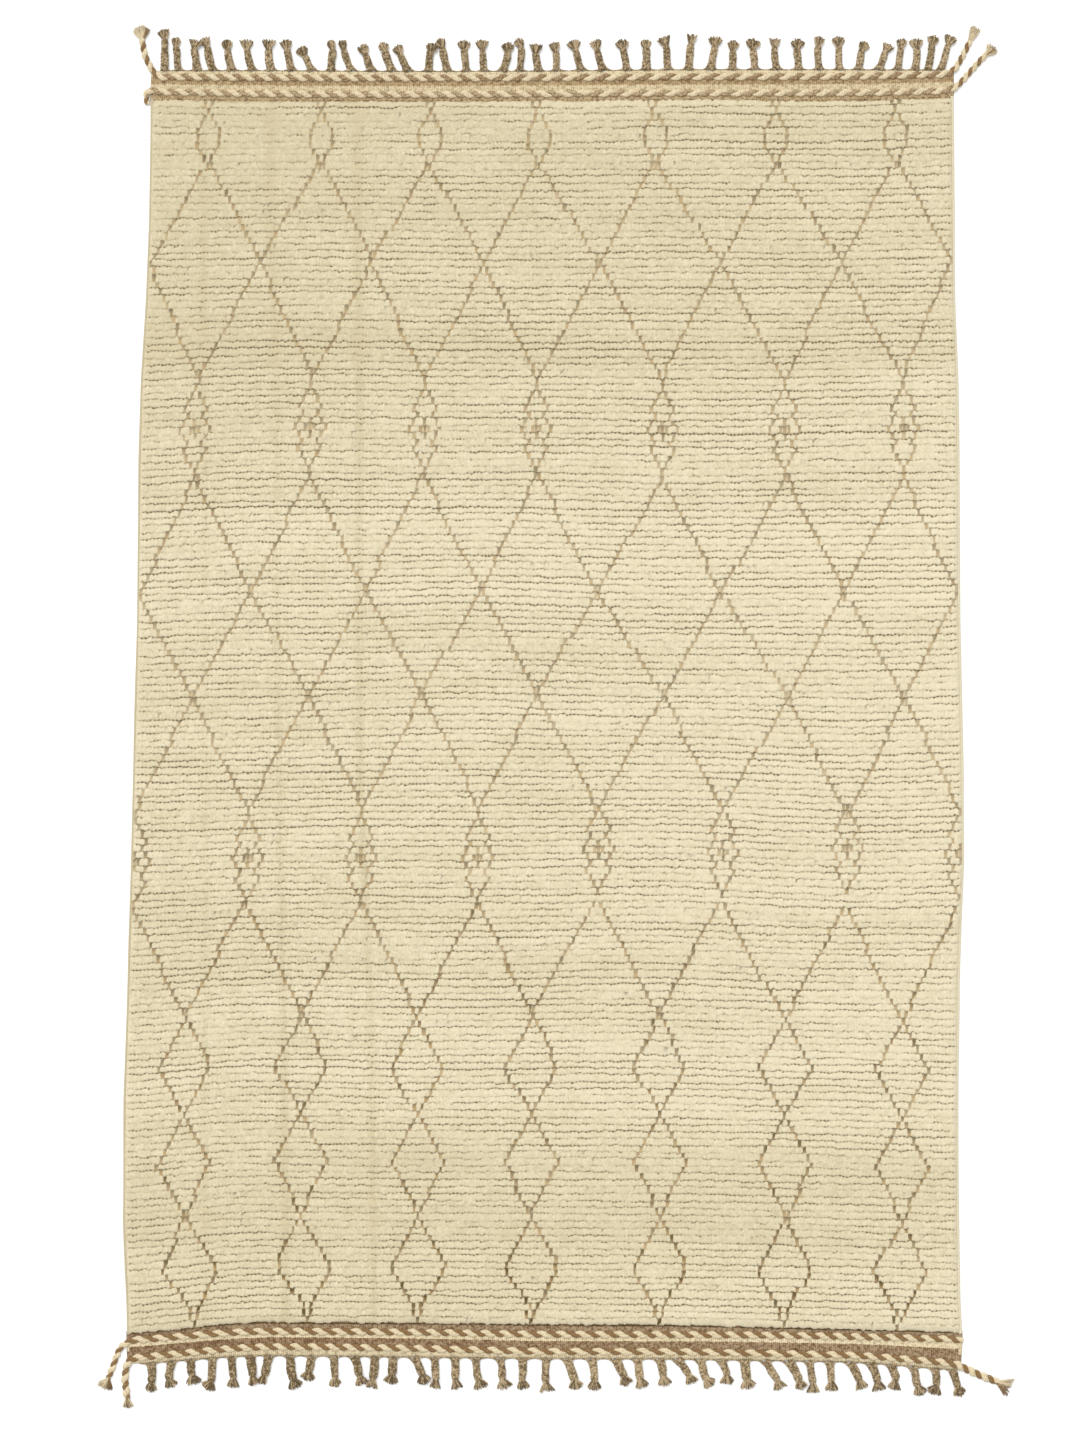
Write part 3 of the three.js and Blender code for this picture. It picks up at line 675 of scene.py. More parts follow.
def yarn_tree():
    """Lays yarns along lines: alone, twisted round each other or plaited."""
    tree, entry = new_tree("yarns along lines", [
        ("Strands", "NodeSocketInt", 1, "How many yarns follow each line"),
        ("Reach Across", "NodeSocketFloat", 0.0, "How far a yarn swings to each side"),
        ("Quickness", "NodeSocketFloat", 0.0, "How steeply a yarn crosses from side to side"),
        ("Reach Up", "NodeSocketFloat", 0.0, "How far a yarn swings up and down"),
        ("Crossings", "NodeSocketFloat", 1.0, "Swings up and down for each swing across"),
        ("Up Phase", "NodeSocketFloat", math.pi / 2, "Where the swing up and down starts"),
        ("Turn", "NodeSocketFloat", 0.04, "Length of one swing across and back"),
        ("Hand Change", "NodeSocketFloat", 100.0, "Length at which the twist changes hand"),
        ("Yarn Radius", "NodeSocketFloat", 0.003, "Radius of the first yarn"),
        ("Thinning", "NodeSocketFloat", 0.0, "How much thinner each next yarn is"),
        ("Bulge", "NodeSocketFloat", 0.0, "How much plumper a yarn is on top than below"),
        ("Flatness", "NodeSocketFloat", 1.0, "Height kept when the yarns are pressed flat"),
        ("Step", "NodeSocketFloat", 0.003, "Length between two rings of a yarn"),
        ("Sides", "NodeSocketInt", 8, "Sides of a yarn"),
        ("Material", "NodeSocketMaterial", None, "The wool"),
    ])
    line = add(tree, "GeometryNodeMeshToCurve", {"Mesh": entry.outputs["Geometry"]})
    copies = add(tree, "GeometryNodeDuplicateElements",
                 {"Geometry": line, "Amount": entry.outputs["Strands"]}, domain="SPLINE")
    rings = add(tree, "GeometryNodeResampleCurve",
                {"Curve": copies.outputs["Geometry"], "Length": entry.outputs["Step"]}, mode="LENGTH")
    along = add(tree, "GeometryNodeSplineParameter").outputs["Length"]
    strand = copies.outputs["Duplicate Index"]
    girth = add(tree, "GeometryNodeInputNamedAttribute", {"Name": "girth"})
    phase = add(tree, "GeometryNodeInputNamedAttribute", {"Name": "phase"})
    past = add(tree, MATH, (along, entry.outputs["Hand Change"]), "SUBTRACT")
    either = add(tree, MATH, (past,), "ABSOLUTE")
    turns = add(tree, MATH, (either, entry.outputs["Turn"]), "DIVIDE")
    share = add(tree, MATH, (strand, entry.outputs["Strands"]), "DIVIDE")
    both = add(tree, MATH, (turns, share), "ADD")
    angle = add(tree, MATH, (both, 2 * math.pi, phase), "MULTIPLY_ADD")
    sway = add(tree, MATH, (angle,), "SINE")
    # A quicker crossing leaves the middle faster and dwells at the sides: s (1 + q (1 - s s) / 2).
    squared = add(tree, MATH, (sway, sway), "MULTIPLY")
    inside = add(tree, MATH, (squared, -0.5, 0.5), "MULTIPLY_ADD")
    quicker = add(tree, MATH, (inside, entry.outputs["Quickness"], 1.0), "MULTIPLY_ADD")
    swing = add(tree, MATH, (sway, quicker), "MULTIPLY")
    wide = add(tree, MATH, (swing, entry.outputs["Reach Across"]), "MULTIPLY")
    wide_here = add(tree, MATH, (wide, girth), "MULTIPLY")
    crossing = add(tree, MATH,
                   (angle, entry.outputs["Crossings"], entry.outputs["Up Phase"]),
                   "MULTIPLY_ADD")
    lift = add(tree, MATH, (crossing,), "SINE")
    high = add(tree, MATH, (lift, entry.outputs["Reach Up"]), "MULTIPLY")
    high_here = add(tree, MATH, (high, girth), "MULTIPLY")
    tangent = add(tree, "GeometryNodeInputTangent")
    side = add(tree, "ShaderNodeVectorMath", ((0.0, 0.0, 1.0), tangent), "CROSS_PRODUCT")
    unit = add(tree, "ShaderNodeVectorMath", (side,), "NORMALIZE")
    sideways = add(tree, "ShaderNodeVectorMath", {0: unit, "Scale": wide_here}, "SCALE")
    upward = add(tree, "ShaderNodeCombineXYZ", {"Z": high_here})
    offset = add(tree, "ShaderNodeVectorMath", (sideways, upward), "ADD")
    place = add(tree, "GeometryNodeInputPosition")
    height = add(tree, "ShaderNodeSeparateXYZ", (place,))
    marked = rings
    for label, value in (
        ("centre", height.outputs["Z"]), ("along", along), ("strand", strand), ("lift", lift),
    ):
        marked = add(tree, "GeometryNodeStoreNamedAttribute",
                     {"Geometry": marked, "Name": label, "Value": value})
    moved = add(tree, "GeometryNodeSetPosition", {"Geometry": marked, "Offset": offset})
    lifted = add(tree, "GeometryNodeInputNamedAttribute", {"Name": "lift"})
    plump = add(tree, MATH, (lifted, entry.outputs["Bulge"], 1.0), "MULTIPLY_ADD")
    thin = add(tree, MATH, (girth, entry.outputs["Yarn Radius"]), "MULTIPLY")
    thinned = add(tree, MATH, (strand, entry.outputs["Thinning"]), "MULTIPLY")
    stays = add(tree, MATH, (1.0, thinned), "SUBTRACT")
    rounded = add(tree, MATH, (thin, plump), "MULTIPLY")
    thick = add(tree, MATH, (rounded, stays), "MULTIPLY")
    tube = sweep_ring(tree, entry, moved, thick)
    return end_tree(tree, entry, press_flat(tree, entry, tube))


def overcast_tree():
    """Wraps a line with the slanting turns of an overcast side."""
    tree, entry = new_tree("overcast side", [
        ("Radius", "NodeSocketFloat", 0.0045, "Radius of the wrapped side"),
        ("Pitch", "NodeSocketFloat", 0.0077, "Length from wrap to wrap"),
        ("Bulge", "NodeSocketFloat", 0.0008, "How far each wrap stands out"),
        ("Flatness", "NodeSocketFloat", 0.85, "Height kept when the side is pressed flat"),
        ("Sides", "NodeSocketInt", 8, "Sides of the wrapped side"),
        ("Material", "NodeSocketMaterial", None, "The wool"),
    ])
    line = add(tree, "GeometryNodeMeshToCurve", {"Mesh": entry.outputs["Geometry"]})
    step = add(tree, MATH, (entry.outputs["Pitch"], 4.0), "DIVIDE")
    rings = add(tree, "GeometryNodeResampleCurve", {"Curve": line, "Length": step}, mode="LENGTH")
    spline = add(tree, "GeometryNodeSplineParameter")
    place = add(tree, "GeometryNodeInputPosition")
    height = add(tree, "ShaderNodeSeparateXYZ", (place,))
    marked = rings
    for label, value in (("centre", height.outputs["Z"]), ("along", spline.outputs["Length"])):
        marked = add(tree, "GeometryNodeStoreNamedAttribute",
                     {"Geometry": marked, "Name": label, "Value": value})
    tube = sweep_ring(tree, entry, marked, entry.outputs["Radius"])
    along = add(tree, "GeometryNodeInputNamedAttribute", {"Name": "along"})
    around = add(tree, "GeometryNodeInputNamedAttribute", {"Name": "around"})
    wraps = add(tree, MATH, (along, entry.outputs["Pitch"]), "DIVIDE")
    slant = add(tree, MATH, (around, wraps), "ADD")
    half = add(tree, MATH, (slant, math.pi), "MULTIPLY")
    wave = add(tree, MATH, (half,), "SINE")
    rounded = add(tree, MATH, (wave,), "ABSOLUTE")
    bulge = add(tree, MATH, (rounded, entry.outputs["Bulge"]), "MULTIPLY")
    normal = add(tree, "GeometryNodeInputNormal")
    outward = add(tree, "ShaderNodeVectorMath", {0: normal, "Scale": bulge}, "SCALE")
    wrapped = add(tree, "GeometryNodeSetPosition", {"Geometry": tube, "Offset": outward})
    return end_tree(tree, entry, press_flat(tree, entry, wrapped))


def start_wool(name):
    """A new wool, its nodes and the place in it: dry fibres without a shine that have a faint bloom."""
    material = bpy.data.materials.new(name)
    material.use_nodes = True
    shader = material.node_tree.nodes["Principled BSDF"]
    shader.inputs["Roughness"].default_value = 0.95
    shader.inputs["Specular IOR Level"].default_value = 0.15
    shader.inputs["Sheen Weight"].default_value = 0.12
    shader.inputs["Sheen Roughness"].default_value = 0.6
    place = add(material.node_tree, "ShaderNodeTexCoord").outputs["Object"]
    return material, material.node_tree, place


def knot_place(tree):
    """The column and row of a point among the knots or ribs, and how far from its column's side."""
    uv = add(tree, "ShaderNodeUVMap", uv_map="knots")
    place = add(tree, "ShaderNodeSeparateXYZ", (uv,))
    column, row = place.outputs["X"], place.outputs["Y"]
    return column, row, add(tree, MATH, (column, 0.5), "PINGPONG")


def end_wool(material, colour, relief, strength, depth):
    """Gives a wool's shader its colour and its relief of the given strength and depth."""
    tree = material.node_tree
    shader = tree.nodes["Principled BSDF"]
    tree.links.new(colour.outputs[2], shader.inputs["Base Color"])
    bump = add(tree, "ShaderNodeBump", {"Height": relief, "Strength": strength, "Distance": depth})
    tree.links.new(bump.outputs[0], shader.inputs["Normal"])
    return material


def pile_wool():
    """Sheared knotted pile: yarn tied in rows of knots and cut level.

    Its matt fibre ends speckle the cream, the brown knots draw the lattice, and painted shade draws the
    grooves between rows as broken dark lines and darkens the cream beside them.
    """
    colours = bpy.context.scene.rug_colours
    material, tree, place = start_wool("sheared_wool_pile")
    column, row, beside = knot_place(tree)
    gap, tone, lot, brown, lean = [
        add(tree, "ShaderNodeAttribute", attribute_name=name).outputs["Fac"]
        for name in ("gap", "tone", "lot", "brown", "lean")
    ]
    # The sheared yarn ends lie along the rug, 4 mm wide and 6 mm long, in patches of about 70 mm.
    lying = add(tree, "ShaderNodeMapping", {"Vector": place, "Scale": (250.0, 165.0, 250.0)})
    tufts = add(tree, "ShaderNodeTexNoise",
                {"Vector": lying, "Scale": 1.0, "Detail": 4.0, "Roughness": 0.7})
    patches = add(tree, "ShaderNodeTexNoise",
                  {"Vector": place, "Scale": 14.0, "Detail": 4.0, "Roughness": 0.65})
    # The groove's shade is painted as a dark line, jagged and broken by the yarn ends that lean over it.
    jag = add(tree, MATH, (tufts, 0.4, -0.2), "MULTIPLY_ADD")
    jagged = add(tree, MATH, (row, jag), "ADD")
    from_groove = add(tree, MATH, (jagged, 0.5), "PINGPONG")
    # It is widest between two knots, so that it reads as a row of dots.
    dots = add(tree, "ShaderNodeMapRange", {
        "Value": beside, "From Min": 0.1, "From Max": 0.4, "To Min": 2.4, "To Max": 0.4,
    }, interpolation_type="SMOOTHSTEP")
    own_dots = add(tree, MATH, (tone, 0.3, dots), "MULTIPLY_ADD")
    from_dot = add(tree, MATH, (from_groove, own_dots), "DIVIDE")
    line = add(tree, "ShaderNodeMapRange", {
        "Value": from_dot, "From Min": 0.02, "From Max": 0.08, "To Min": 1.0, "To Max": 0.0,
    }, interpolation_type="SMOOTHSTEP")
    broken = add(tree, "ShaderNodeMapRange",
                 {"Value": tufts, "From Min": 0.38, "From Max": 0.6, "To Min": 1.8, "To Max": 0.2})
    opened = add(tree, MATH, (gap, broken), "MULTIPLY")
    dotted = add(tree, MATH, (own_dots, 0.65), "MULTIPLY")
    opened_here = add(tree, MATH, (opened, dotted), "MULTIPLY")
    painted_groove_shade = add(tree, MATH, (line, opened_here), "MULTIPLY", use_clamp=True)
    # Painted shade: the cream darkens towards an open groove.
    near_groove = add(tree, "ShaderNodeMapRange", {
        "Value": from_groove, "From Min": 0.0, "From Max": 0.25, "To Min": 0.5, "To Max": 0.0,
    }, interpolation_type="SMOOTHSTEP")
    shade = add(tree, MATH, (near_groove, gap), "MULTIPLY")
    # Undyed wool: yarn ends, patches, each knot's own tone and each lot's, with the painted shade of the
    # old folds.
    ends = add(tree, MATH, (tufts, 1.6), "MULTIPLY")
    light = add(tree, MATH, (tone, 0.06, ends), "MULTIPLY_ADD")
    lighter = add(tree, MATH, (patches, 0.3, light), "MULTIPLY_ADD")
    lot_light = add(tree, MATH, (lot, 0.12, lighter), "MULTIPLY_ADD")
    share = add(tree, "ShaderNodeMapRange", {"Value": lot_light, "From Min": 0.68, "From Max": 1.2})
    less = add(tree, MATH, (share, shade), "SUBTRACT", use_clamp=True)
    cream = add(tree, "ShaderNodeMix", {
        0: less, 6: linear(colours.cream_dark), 7: linear(colours.cream_light),
    }, data_type="RGBA")
    # Painted shade: a brown knot is darkest at its far side, under the next row, and lightest at its near
    # side; its own tone and the yarn ends vary it too.
    in_row = add(tree, MATH, (row,), "FRACT")
    tone_and_far_shade = add(tree, MATH, (tone, 0.4, in_row), "MULTIPLY_ADD")
    brown_share = add(tree, MATH, (tone_and_far_shade, tufts), "ADD")
    deeper = add(tree, MATH, (brown, 0.9, brown_share), "MULTIPLY_ADD")
    brown_range = add(tree, "ShaderNodeMapRange", {"Value": deeper, "From Min": 1.27, "From Max": 2.12})
    brown_wool = add(tree, "ShaderNodeMix", {
        0: brown_range, 6: linear(colours.knot_tan), 7: linear(colours.knot_brown),
    }, data_type="RGBA")
    # A brown tuft leans along its line and widens to the far side, and cream fibres cross its border.
    from_middle = add(tree, MATH, (in_row, -0.5, 0.25), "MULTIPLY_ADD")
    centred = add(tree, MATH, (from_middle, lean, column), "MULTIPLY_ADD")
    across = add(tree, MATH, (centred, 0.5), "PINGPONG")
    border = add(tree, MATH, (tufts, 0.6, across), "MULTIPLY_ADD")
    wider = add(tree, MATH, (in_row, 0.14, border), "MULTIPLY_ADD")
    inside = add(tree, "ShaderNodeMapRange", {"Value": wider, "From Min": 0.36, "From Max": 0.54})
    brown_here = add(tree, MATH, (inside, brown), "MULTIPLY")
    wool = add(tree, "ShaderNodeMix", {0: brown_here, 6: cream, 7: brown_wool}, data_type="RGBA")
    # The painted shade of the grooves goes over the wool.
    colour = add(tree, "ShaderNodeMix", {0: painted_groove_shade, 6: wool, 7: linear(colours.groove)},
                 data_type="RGBA")
    return end_wool(material, colour, tufts, 0.9, 3 * MM)


def woven_wool(name, brown):
    """Weft-faced weave: wool weft beaten down until it hides the warps.

    It shows fine ribs with painted shade in their clefts and hollows, and cream and brown stripes with a
    worn, uneven dye.
    """
    colours = bpy.context.scene.rug_colours
    material, tree, place = start_wool(name)
    _, row, across = knot_place(tree)
    dye = add(tree, "ShaderNodeAttribute", attribute_name="dye").outputs["Fac"]
    # Tufts of fibre about 6 mm long, drawn coarser than real ones to show, and worn patches of 40 mm.
    fibres = add(tree, "ShaderNodeTexNoise",
                 {"Vector": place, "Scale": 170.0, "Detail": 4.0, "Roughness": 0.7})
    patches = add(tree, "ShaderNodeTexNoise", {"Vector": place, "Scale": 25.0, "Detail": 2.0})
    # Painted shade in the clefts between ribs.
    cleft = add(tree, "ShaderNodeMapRange",
                {"Value": across, "From Min": 0.0, "From Max": 0.25, "To Min": 0.4, "To Max": 0.0})
    worn = add(tree, MATH, (fibres, -4.0, patches), "MULTIPLY_ADD")
    worn_range = add(tree, "ShaderNodeMapRange", {
        "Value": worn, "From Min": -2.1, "From Max": -1.0, "To Min": 0.76, "To Max": 1.14,
    })
    dyed = add(tree, MATH, (dye, worn_range), "MULTIPLY")
    wool = add(tree, "ShaderNodeMix", {0: dyed, 6: linear(colours.weave_cream), 7: linear(brown)},
               data_type="RGBA")
    # Painted shadow of the pile's edge: where a stripe meets the pile, a dye share over one darkens it in
    # spots.
    beyond = add(tree, MATH, (dyed, 1.0), "SUBTRACT", use_clamp=True)
    pile_edge_shadowed = add(tree, "ShaderNodeMix", {0: beyond, 6: wool, 7: linear(colours.warp_dark)},
                  data_type="RGBA")
    # Painted shade in the low spots among the fibres, with that of the clefts, darkens the wool.
    hollows = add(tree, "ShaderNodeMapRange",
                  {"Value": fibres, "From Min": 0.36, "From Max": 0.54, "To Min": 0.55, "To Max": 0.0})
    painted_hollow_shade = add(tree, MATH, (cleft, hollows), "ADD", use_clamp=True)
    darker = add(tree, "ShaderNodeMix", {0: painted_hollow_shade, 6: pile_edge_shadowed, 7: linear(colours.groove)},
                 data_type="RGBA", blend_type="MULTIPLY")
    picks = add(tree, MATH, (row, 0.5), "PINGPONG")
    height = add(tree, MATH, (fibres, 0.6, picks), "MULTIPLY_ADD")
    return end_wool(material, darker, height, 0.5, 1 * MM)


def yarn_wool(name, light, dark, ply_length, ply_turns, fleck_size, fleck_contrast):
    """Plied wool yarn: strands of spun fleece twisted together.

    It shows slanting plies with painted shade between them, and flecks of two tones of fibre that its dye
    attribute mixes.
    """
    material, tree, place = start_wool(name)
    uv = add(tree, "ShaderNodeUVMap", uv_map="yarn")
    tone = add(tree, "ShaderNodeAttribute", attribute_name="tone").outputs["Fac"]
    dye = add(tree, "ShaderNodeAttribute", attribute_name="dye").outputs["Fac"]
    yarn = add(tree, "ShaderNodeSeparateXYZ", (uv,))
    plies = add(tree, MATH, (yarn.outputs["X"], 1 / ply_length), "MULTIPLY")
    slant = add(tree, MATH, (yarn.outputs["Y"], ply_turns, plies), "MULTIPLY_ADD")
    ply = add(tree, MATH, (slant, 0.5), "PINGPONG")
    fibres = add(tree, "ShaderNodeTexNoise",
                 {"Vector": place, "Scale": 1 / fleck_size, "Detail": 3.0, "Roughness": 0.65})
    fleck = add(tree, MATH, (fibres, 0.5), "SUBTRACT")
    flecks = add(tree, MATH, (fleck, fleck_contrast, dye), "MULTIPLY_ADD")
    toned = add(tree, MATH, (tone, 0.25, flecks), "MULTIPLY_ADD")
    # Painted shade in the grooves between the plies.
    shade = add(tree, "ShaderNodeMapRange",
                {"Value": ply, "From Min": 0.0, "From Max": 0.2, "To Min": 0.25, "To Max": 0.0})
    share = add(tree, MATH, (toned, shade), "ADD", use_clamp=True)
    wool = add(tree, "ShaderNodeMix", {0: share, 6: linear(light), 7: linear(dark)}, data_type="RGBA")
    height = add(tree, MATH, (fibres, 0.4, ply), "MULTIPLY_ADD")
    return end_wool(material, wool, height, 0.6, 1 * MM)


def back_wool():
    """The back of a knotted rug: each row of knots is tied round the warps and beaten down with wefts.

    It shows rows of small loops, brown where the lattice is, between bands of fine wefts, with painted
    shade in the hollows between them.
    """
    colours = bpy.context.scene.rug_colours
    material, tree, place = start_wool("knotted_wool_back")
    column, row, across = knot_place(tree)
    left, right, in_pile, stripe = [
        add(tree, "ShaderNodeAttribute", attribute_name=name).outputs["Fac"]
        for name in ("left_brown", "right_brown", "knotted", "stripe")
    ]
    # Fibres of about 3 mm.
    fibres = add(tree, "ShaderNodeTexNoise", {"Vector": place, "Scale": 380.0, "Detail": 3.0})
    in_row = add(tree, MATH, (row,), "FRACT")
    row_loops = add(tree, "ShaderNodeMapRange", {
        "Value": in_row, "From Min": 0.4, "From Max": 0.5, "To Min": 1.0, "To Max": 0.0,
    }, interpolation_type="SMOOTHSTEP")
    loops = add(tree, MATH, (row_loops, in_pile), "MULTIPLY")
    # Each face of the back is two knots wide, and either of them can be brown.
    pair = add(tree, MATH, (column, 0.5), "MULTIPLY")
    in_pair = add(tree, MATH, (pair,), "FRACT")
    second = add(tree, MATH, (in_pair, 0.5), "GREATER_THAN")
    brown = add(tree, "ShaderNodeMix", {0: second, 2: left, 3: right})
    bead = add(tree, MATH, (across, loops), "MULTIPLY")
    wefts = add(tree, MATH, (row, PICKS), "MULTIPLY")
    picks = add(tree, MATH, (wefts, 0.5), "PINGPONG")
    height = add(tree, MATH, (picks, 0.35, bead), "MULTIPLY_ADD")
    brown_loops = add(tree, MATH, (loops, brown), "MULTIPLY")
    # Painted shade: the back darkens in the hollows between its loops and picks, and its fibres vary it.
    share = add(tree, MATH, (height, fibres), "ADD", use_clamp=True)
    cream = add(tree, "ShaderNodeMix",
                {0: share, 6: linear(colours.groove), 7: linear(colours.cream_light)}, data_type="RGBA")
    knot_wool = add(tree, "ShaderNodeMix", {
        0: fibres, 6: linear(colours.knot_brown), 7: linear(colours.knot_tan),
    }, data_type="RGBA")
    knotted = add(tree, "ShaderNodeMix", {0: brown_loops, 6: cream, 7: knot_wool}, data_type="RGBA")
    stripe_wool = add(tree, "ShaderNodeMix", {
        0: share, 6: linear(colours.knot_brown), 7: linear(colours.weave_brown),
    }, data_type="RGBA")
    wool = add(tree, "ShaderNodeMix", {0: stripe, 6: knotted, 7: stripe_wool}, data_type="RGBA")
    return end_wool(material, wool, height, 0.8, 2 * MM)


def floor_paper():
    """Seamless background paper, unrolled matt and nearly white: a plain floor, faintly mottled."""
    material = bpy.data.materials.new("matt_studio_floor")
    material.use_nodes = True
    tree = material.node_tree
    shader = tree.nodes["Principled BSDF"]
    shader.inputs["Roughness"].default_value = 0.9
    shader.inputs["Specular IOR Level"].default_value = 0.1
    place = add(tree, "ShaderNodeTexCoord").outputs["Object"]
    mottle = add(tree, "ShaderNodeTexNoise", {"Vector": place, "Scale": 3.0})
    floor = linear(bpy.context.scene.rug_colours.floor)
    shaded = tuple(0.985 * part for part in floor[:3]) + (1.0,)
    colour = add(tree, "ShaderNodeMix", {0: mottle, 6: floor, 7: shaded}, data_type="RGBA")
    tree.links.new(colour.outputs[2], shader.inputs["Base Color"])
    return material


def knot_column(share):
    """The knot column at a share of the way across the cloth."""
    return (share * CLOTH_WIDTH - SIDE_MARGIN) / (CLOTH_WIDTH - 2 * SIDE_MARGIN) * KNOTS_ACROSS


def arch_column(index, row):
    """The knot column of an arch line at a row, with how far it has strayed there."""
    foot, chain, top = ARCH_STRAY[index]
    stray = np.interp(row, STRAY_ROWS, (foot, chain, STRAY_LEFT * chain, 0, top))
    return knot_column(ARCH_COLUMNS[index]) + stray


def mark(brown, row, column):
    """Makes the knot at a place brown, if it lies in the pile."""
    row = int(round(row))
    column = int(math.floor(column))
    if 0 <= row < KNOT_ROWS and 0 <= column < KNOTS_ACROSS:
        brown[row, column] = True


def mark_slant(brown, start, end):
    """Makes a straight line of knots brown between two places, each a row and a column."""
    (row, column), (end_row, end_column) = sorted((start, end))
    for at in range(math.ceil(row), math.floor(end_row) + 1):
        mark(brown, at, column + (end_column - column) * (at - row) / (end_row - row))


def mark_lantern(brown, row, column):
    """Makes a lantern of brown knots about a place."""
    for step, offsets in enumerate(LANTERN):
        for offset in offsets:
            for side in (-offset, offset):
                mark(brown, row + step, column + side)
                mark(brown, row - step, column + side)


def mark_chain(brown, index):
    """Makes the chain of small diamonds on an arch line brown, and the figures at its two ends."""
    for top_row, widest, bottom in CHAIN:
        for side in (-CHAIN_HALF_WIDTH, CHAIN_HALF_WIDTH):
            corner = (widest, arch_column(index, widest) + side)
            foot = math.copysign(1, side) if bottom == CHAIN[-1][-1] else 0
            mark_slant(brown, (top_row, arch_column(index, top_row)), corner)
            mark_slant(brown, corner, (bottom, arch_column(index, bottom) + foot))
    for figure, first, step in ((TOP_MOTIF, TOP_MOTIF_ROW, -1), (STEM, 0, 1)):
        for number, offsets in enumerate(figure):
            row = first + step * number
            for offset in offsets:
                mark(brown, row, arch_column(index, row) - offset)
                mark(brown, row, arch_column(index, row) + offset)


def lattice():
    """Which knots are brown, in rows from the near end and columns from the left."""
    brown = np.zeros((KNOT_ROWS, KNOTS_ACROSS), bool)
    between = [knot_column(share) for share in BETWEEN_COLUMNS]
    for index in range(len(ARCH_COLUMNS)):
        for arch_row, between_row in SLANTS:
            start = (arch_row, arch_column(index, arch_row))
            mark_slant(brown, start, (between_row, between[index]))
            mark_slant(brown, start, (between_row, between[index + 1]))
        mark_lantern(brown, ARCH_LANTERN_ROW, arch_column(index, ARCH_LANTERN_ROW))
        mark_chain(brown, index)
    for column, row in zip(between, BETWEEN_LANTERN_ROWS):
        mark_lantern(brown, row, column)
    return brown


def leans(brown):
    """How far each brown knot leans along its line: fully to the right and far, little to the left."""
    right = np.zeros(brown.shape, int)
    left = np.zeros(brown.shape, int)
    for up, over in ((1, 1), (2, 1), (1, 2), (2, 2)):
        right += np.roll(brown, (up, over), (0, 1))
        right += np.roll(brown, (-up, -over), (0, 1))
        left += np.roll(brown, (up, -over), (0, 1))
        left += np.roll(brown, (-up, over), (0, 1))
    return np.choose(np.sign(right - left) + 1, (-0.3, 0.0, 1.0))


def groove_openings(rng, columns):
    """How far each groove between rows opens, by place across: broken, fading lines."""
    rows = KNOT_ROWS + 1
    share = np.linspace(0, 1, columns)
    # Towards the far end the wool has closed over the grooves, most on the left.
    worn = np.clip(np.arange(rows) - WORN_FROM, 0, WORN_ROWS)[:, None] / WORN_ROWS
    worn = worn * np.clip(1 - share, 0.3, 1)
    opening = MEAN_GROOVE - WORN_GROOVE * worn
    for reach, amount in GROOVE_CURVES:
        opening = opening + amount * smooth_noise(rng, rows, columns, reach)
    opening = opening + ROW_GROOVE * rng.uniform(-1, 1, (rows, 1))
    opening = opening + rng.uniform(-POINT_GROOVE, POINT_GROOVE, opening.shape)
    for row, start, end, amount in DARK_COURSES:
        into = np.clip((share - start) / COURSE_FADE, 0, 1)
        opening[row] += amount * (into * np.clip((end - share) / COURSE_FADE, 0, 1))
    fade = np.clip(np.minimum(share, 1 - share) / SIDE_FADE, 0, 1)
    return np.clip(opening, 0, WIDEST_GROOVE) * fade


def soften(opening):
    """The same openings with less of their raggedness, and wider between two knots than behind one."""
    padded = np.pad(opening, ((0, 0), (1, 1)), mode="edge")
    softer = (padded[:, :-2] + 2 * padded[:, 1:-1] + padded[:, 2:]) / 4
    softer[:, ::2] *= OPEN_BETWEEN
    softer[:, 1::2] *= OPEN_BEHIND
    return softer


def per_knot(rng, rows, columns, amount):
    """Random values from minus the amount to the amount, one for each knot's two columns."""
    values = rng.uniform(-amount, amount, (rows, KNOTS_ACROSS + 1))
    return np.repeat(values, 2, axis=1)[:, :columns]


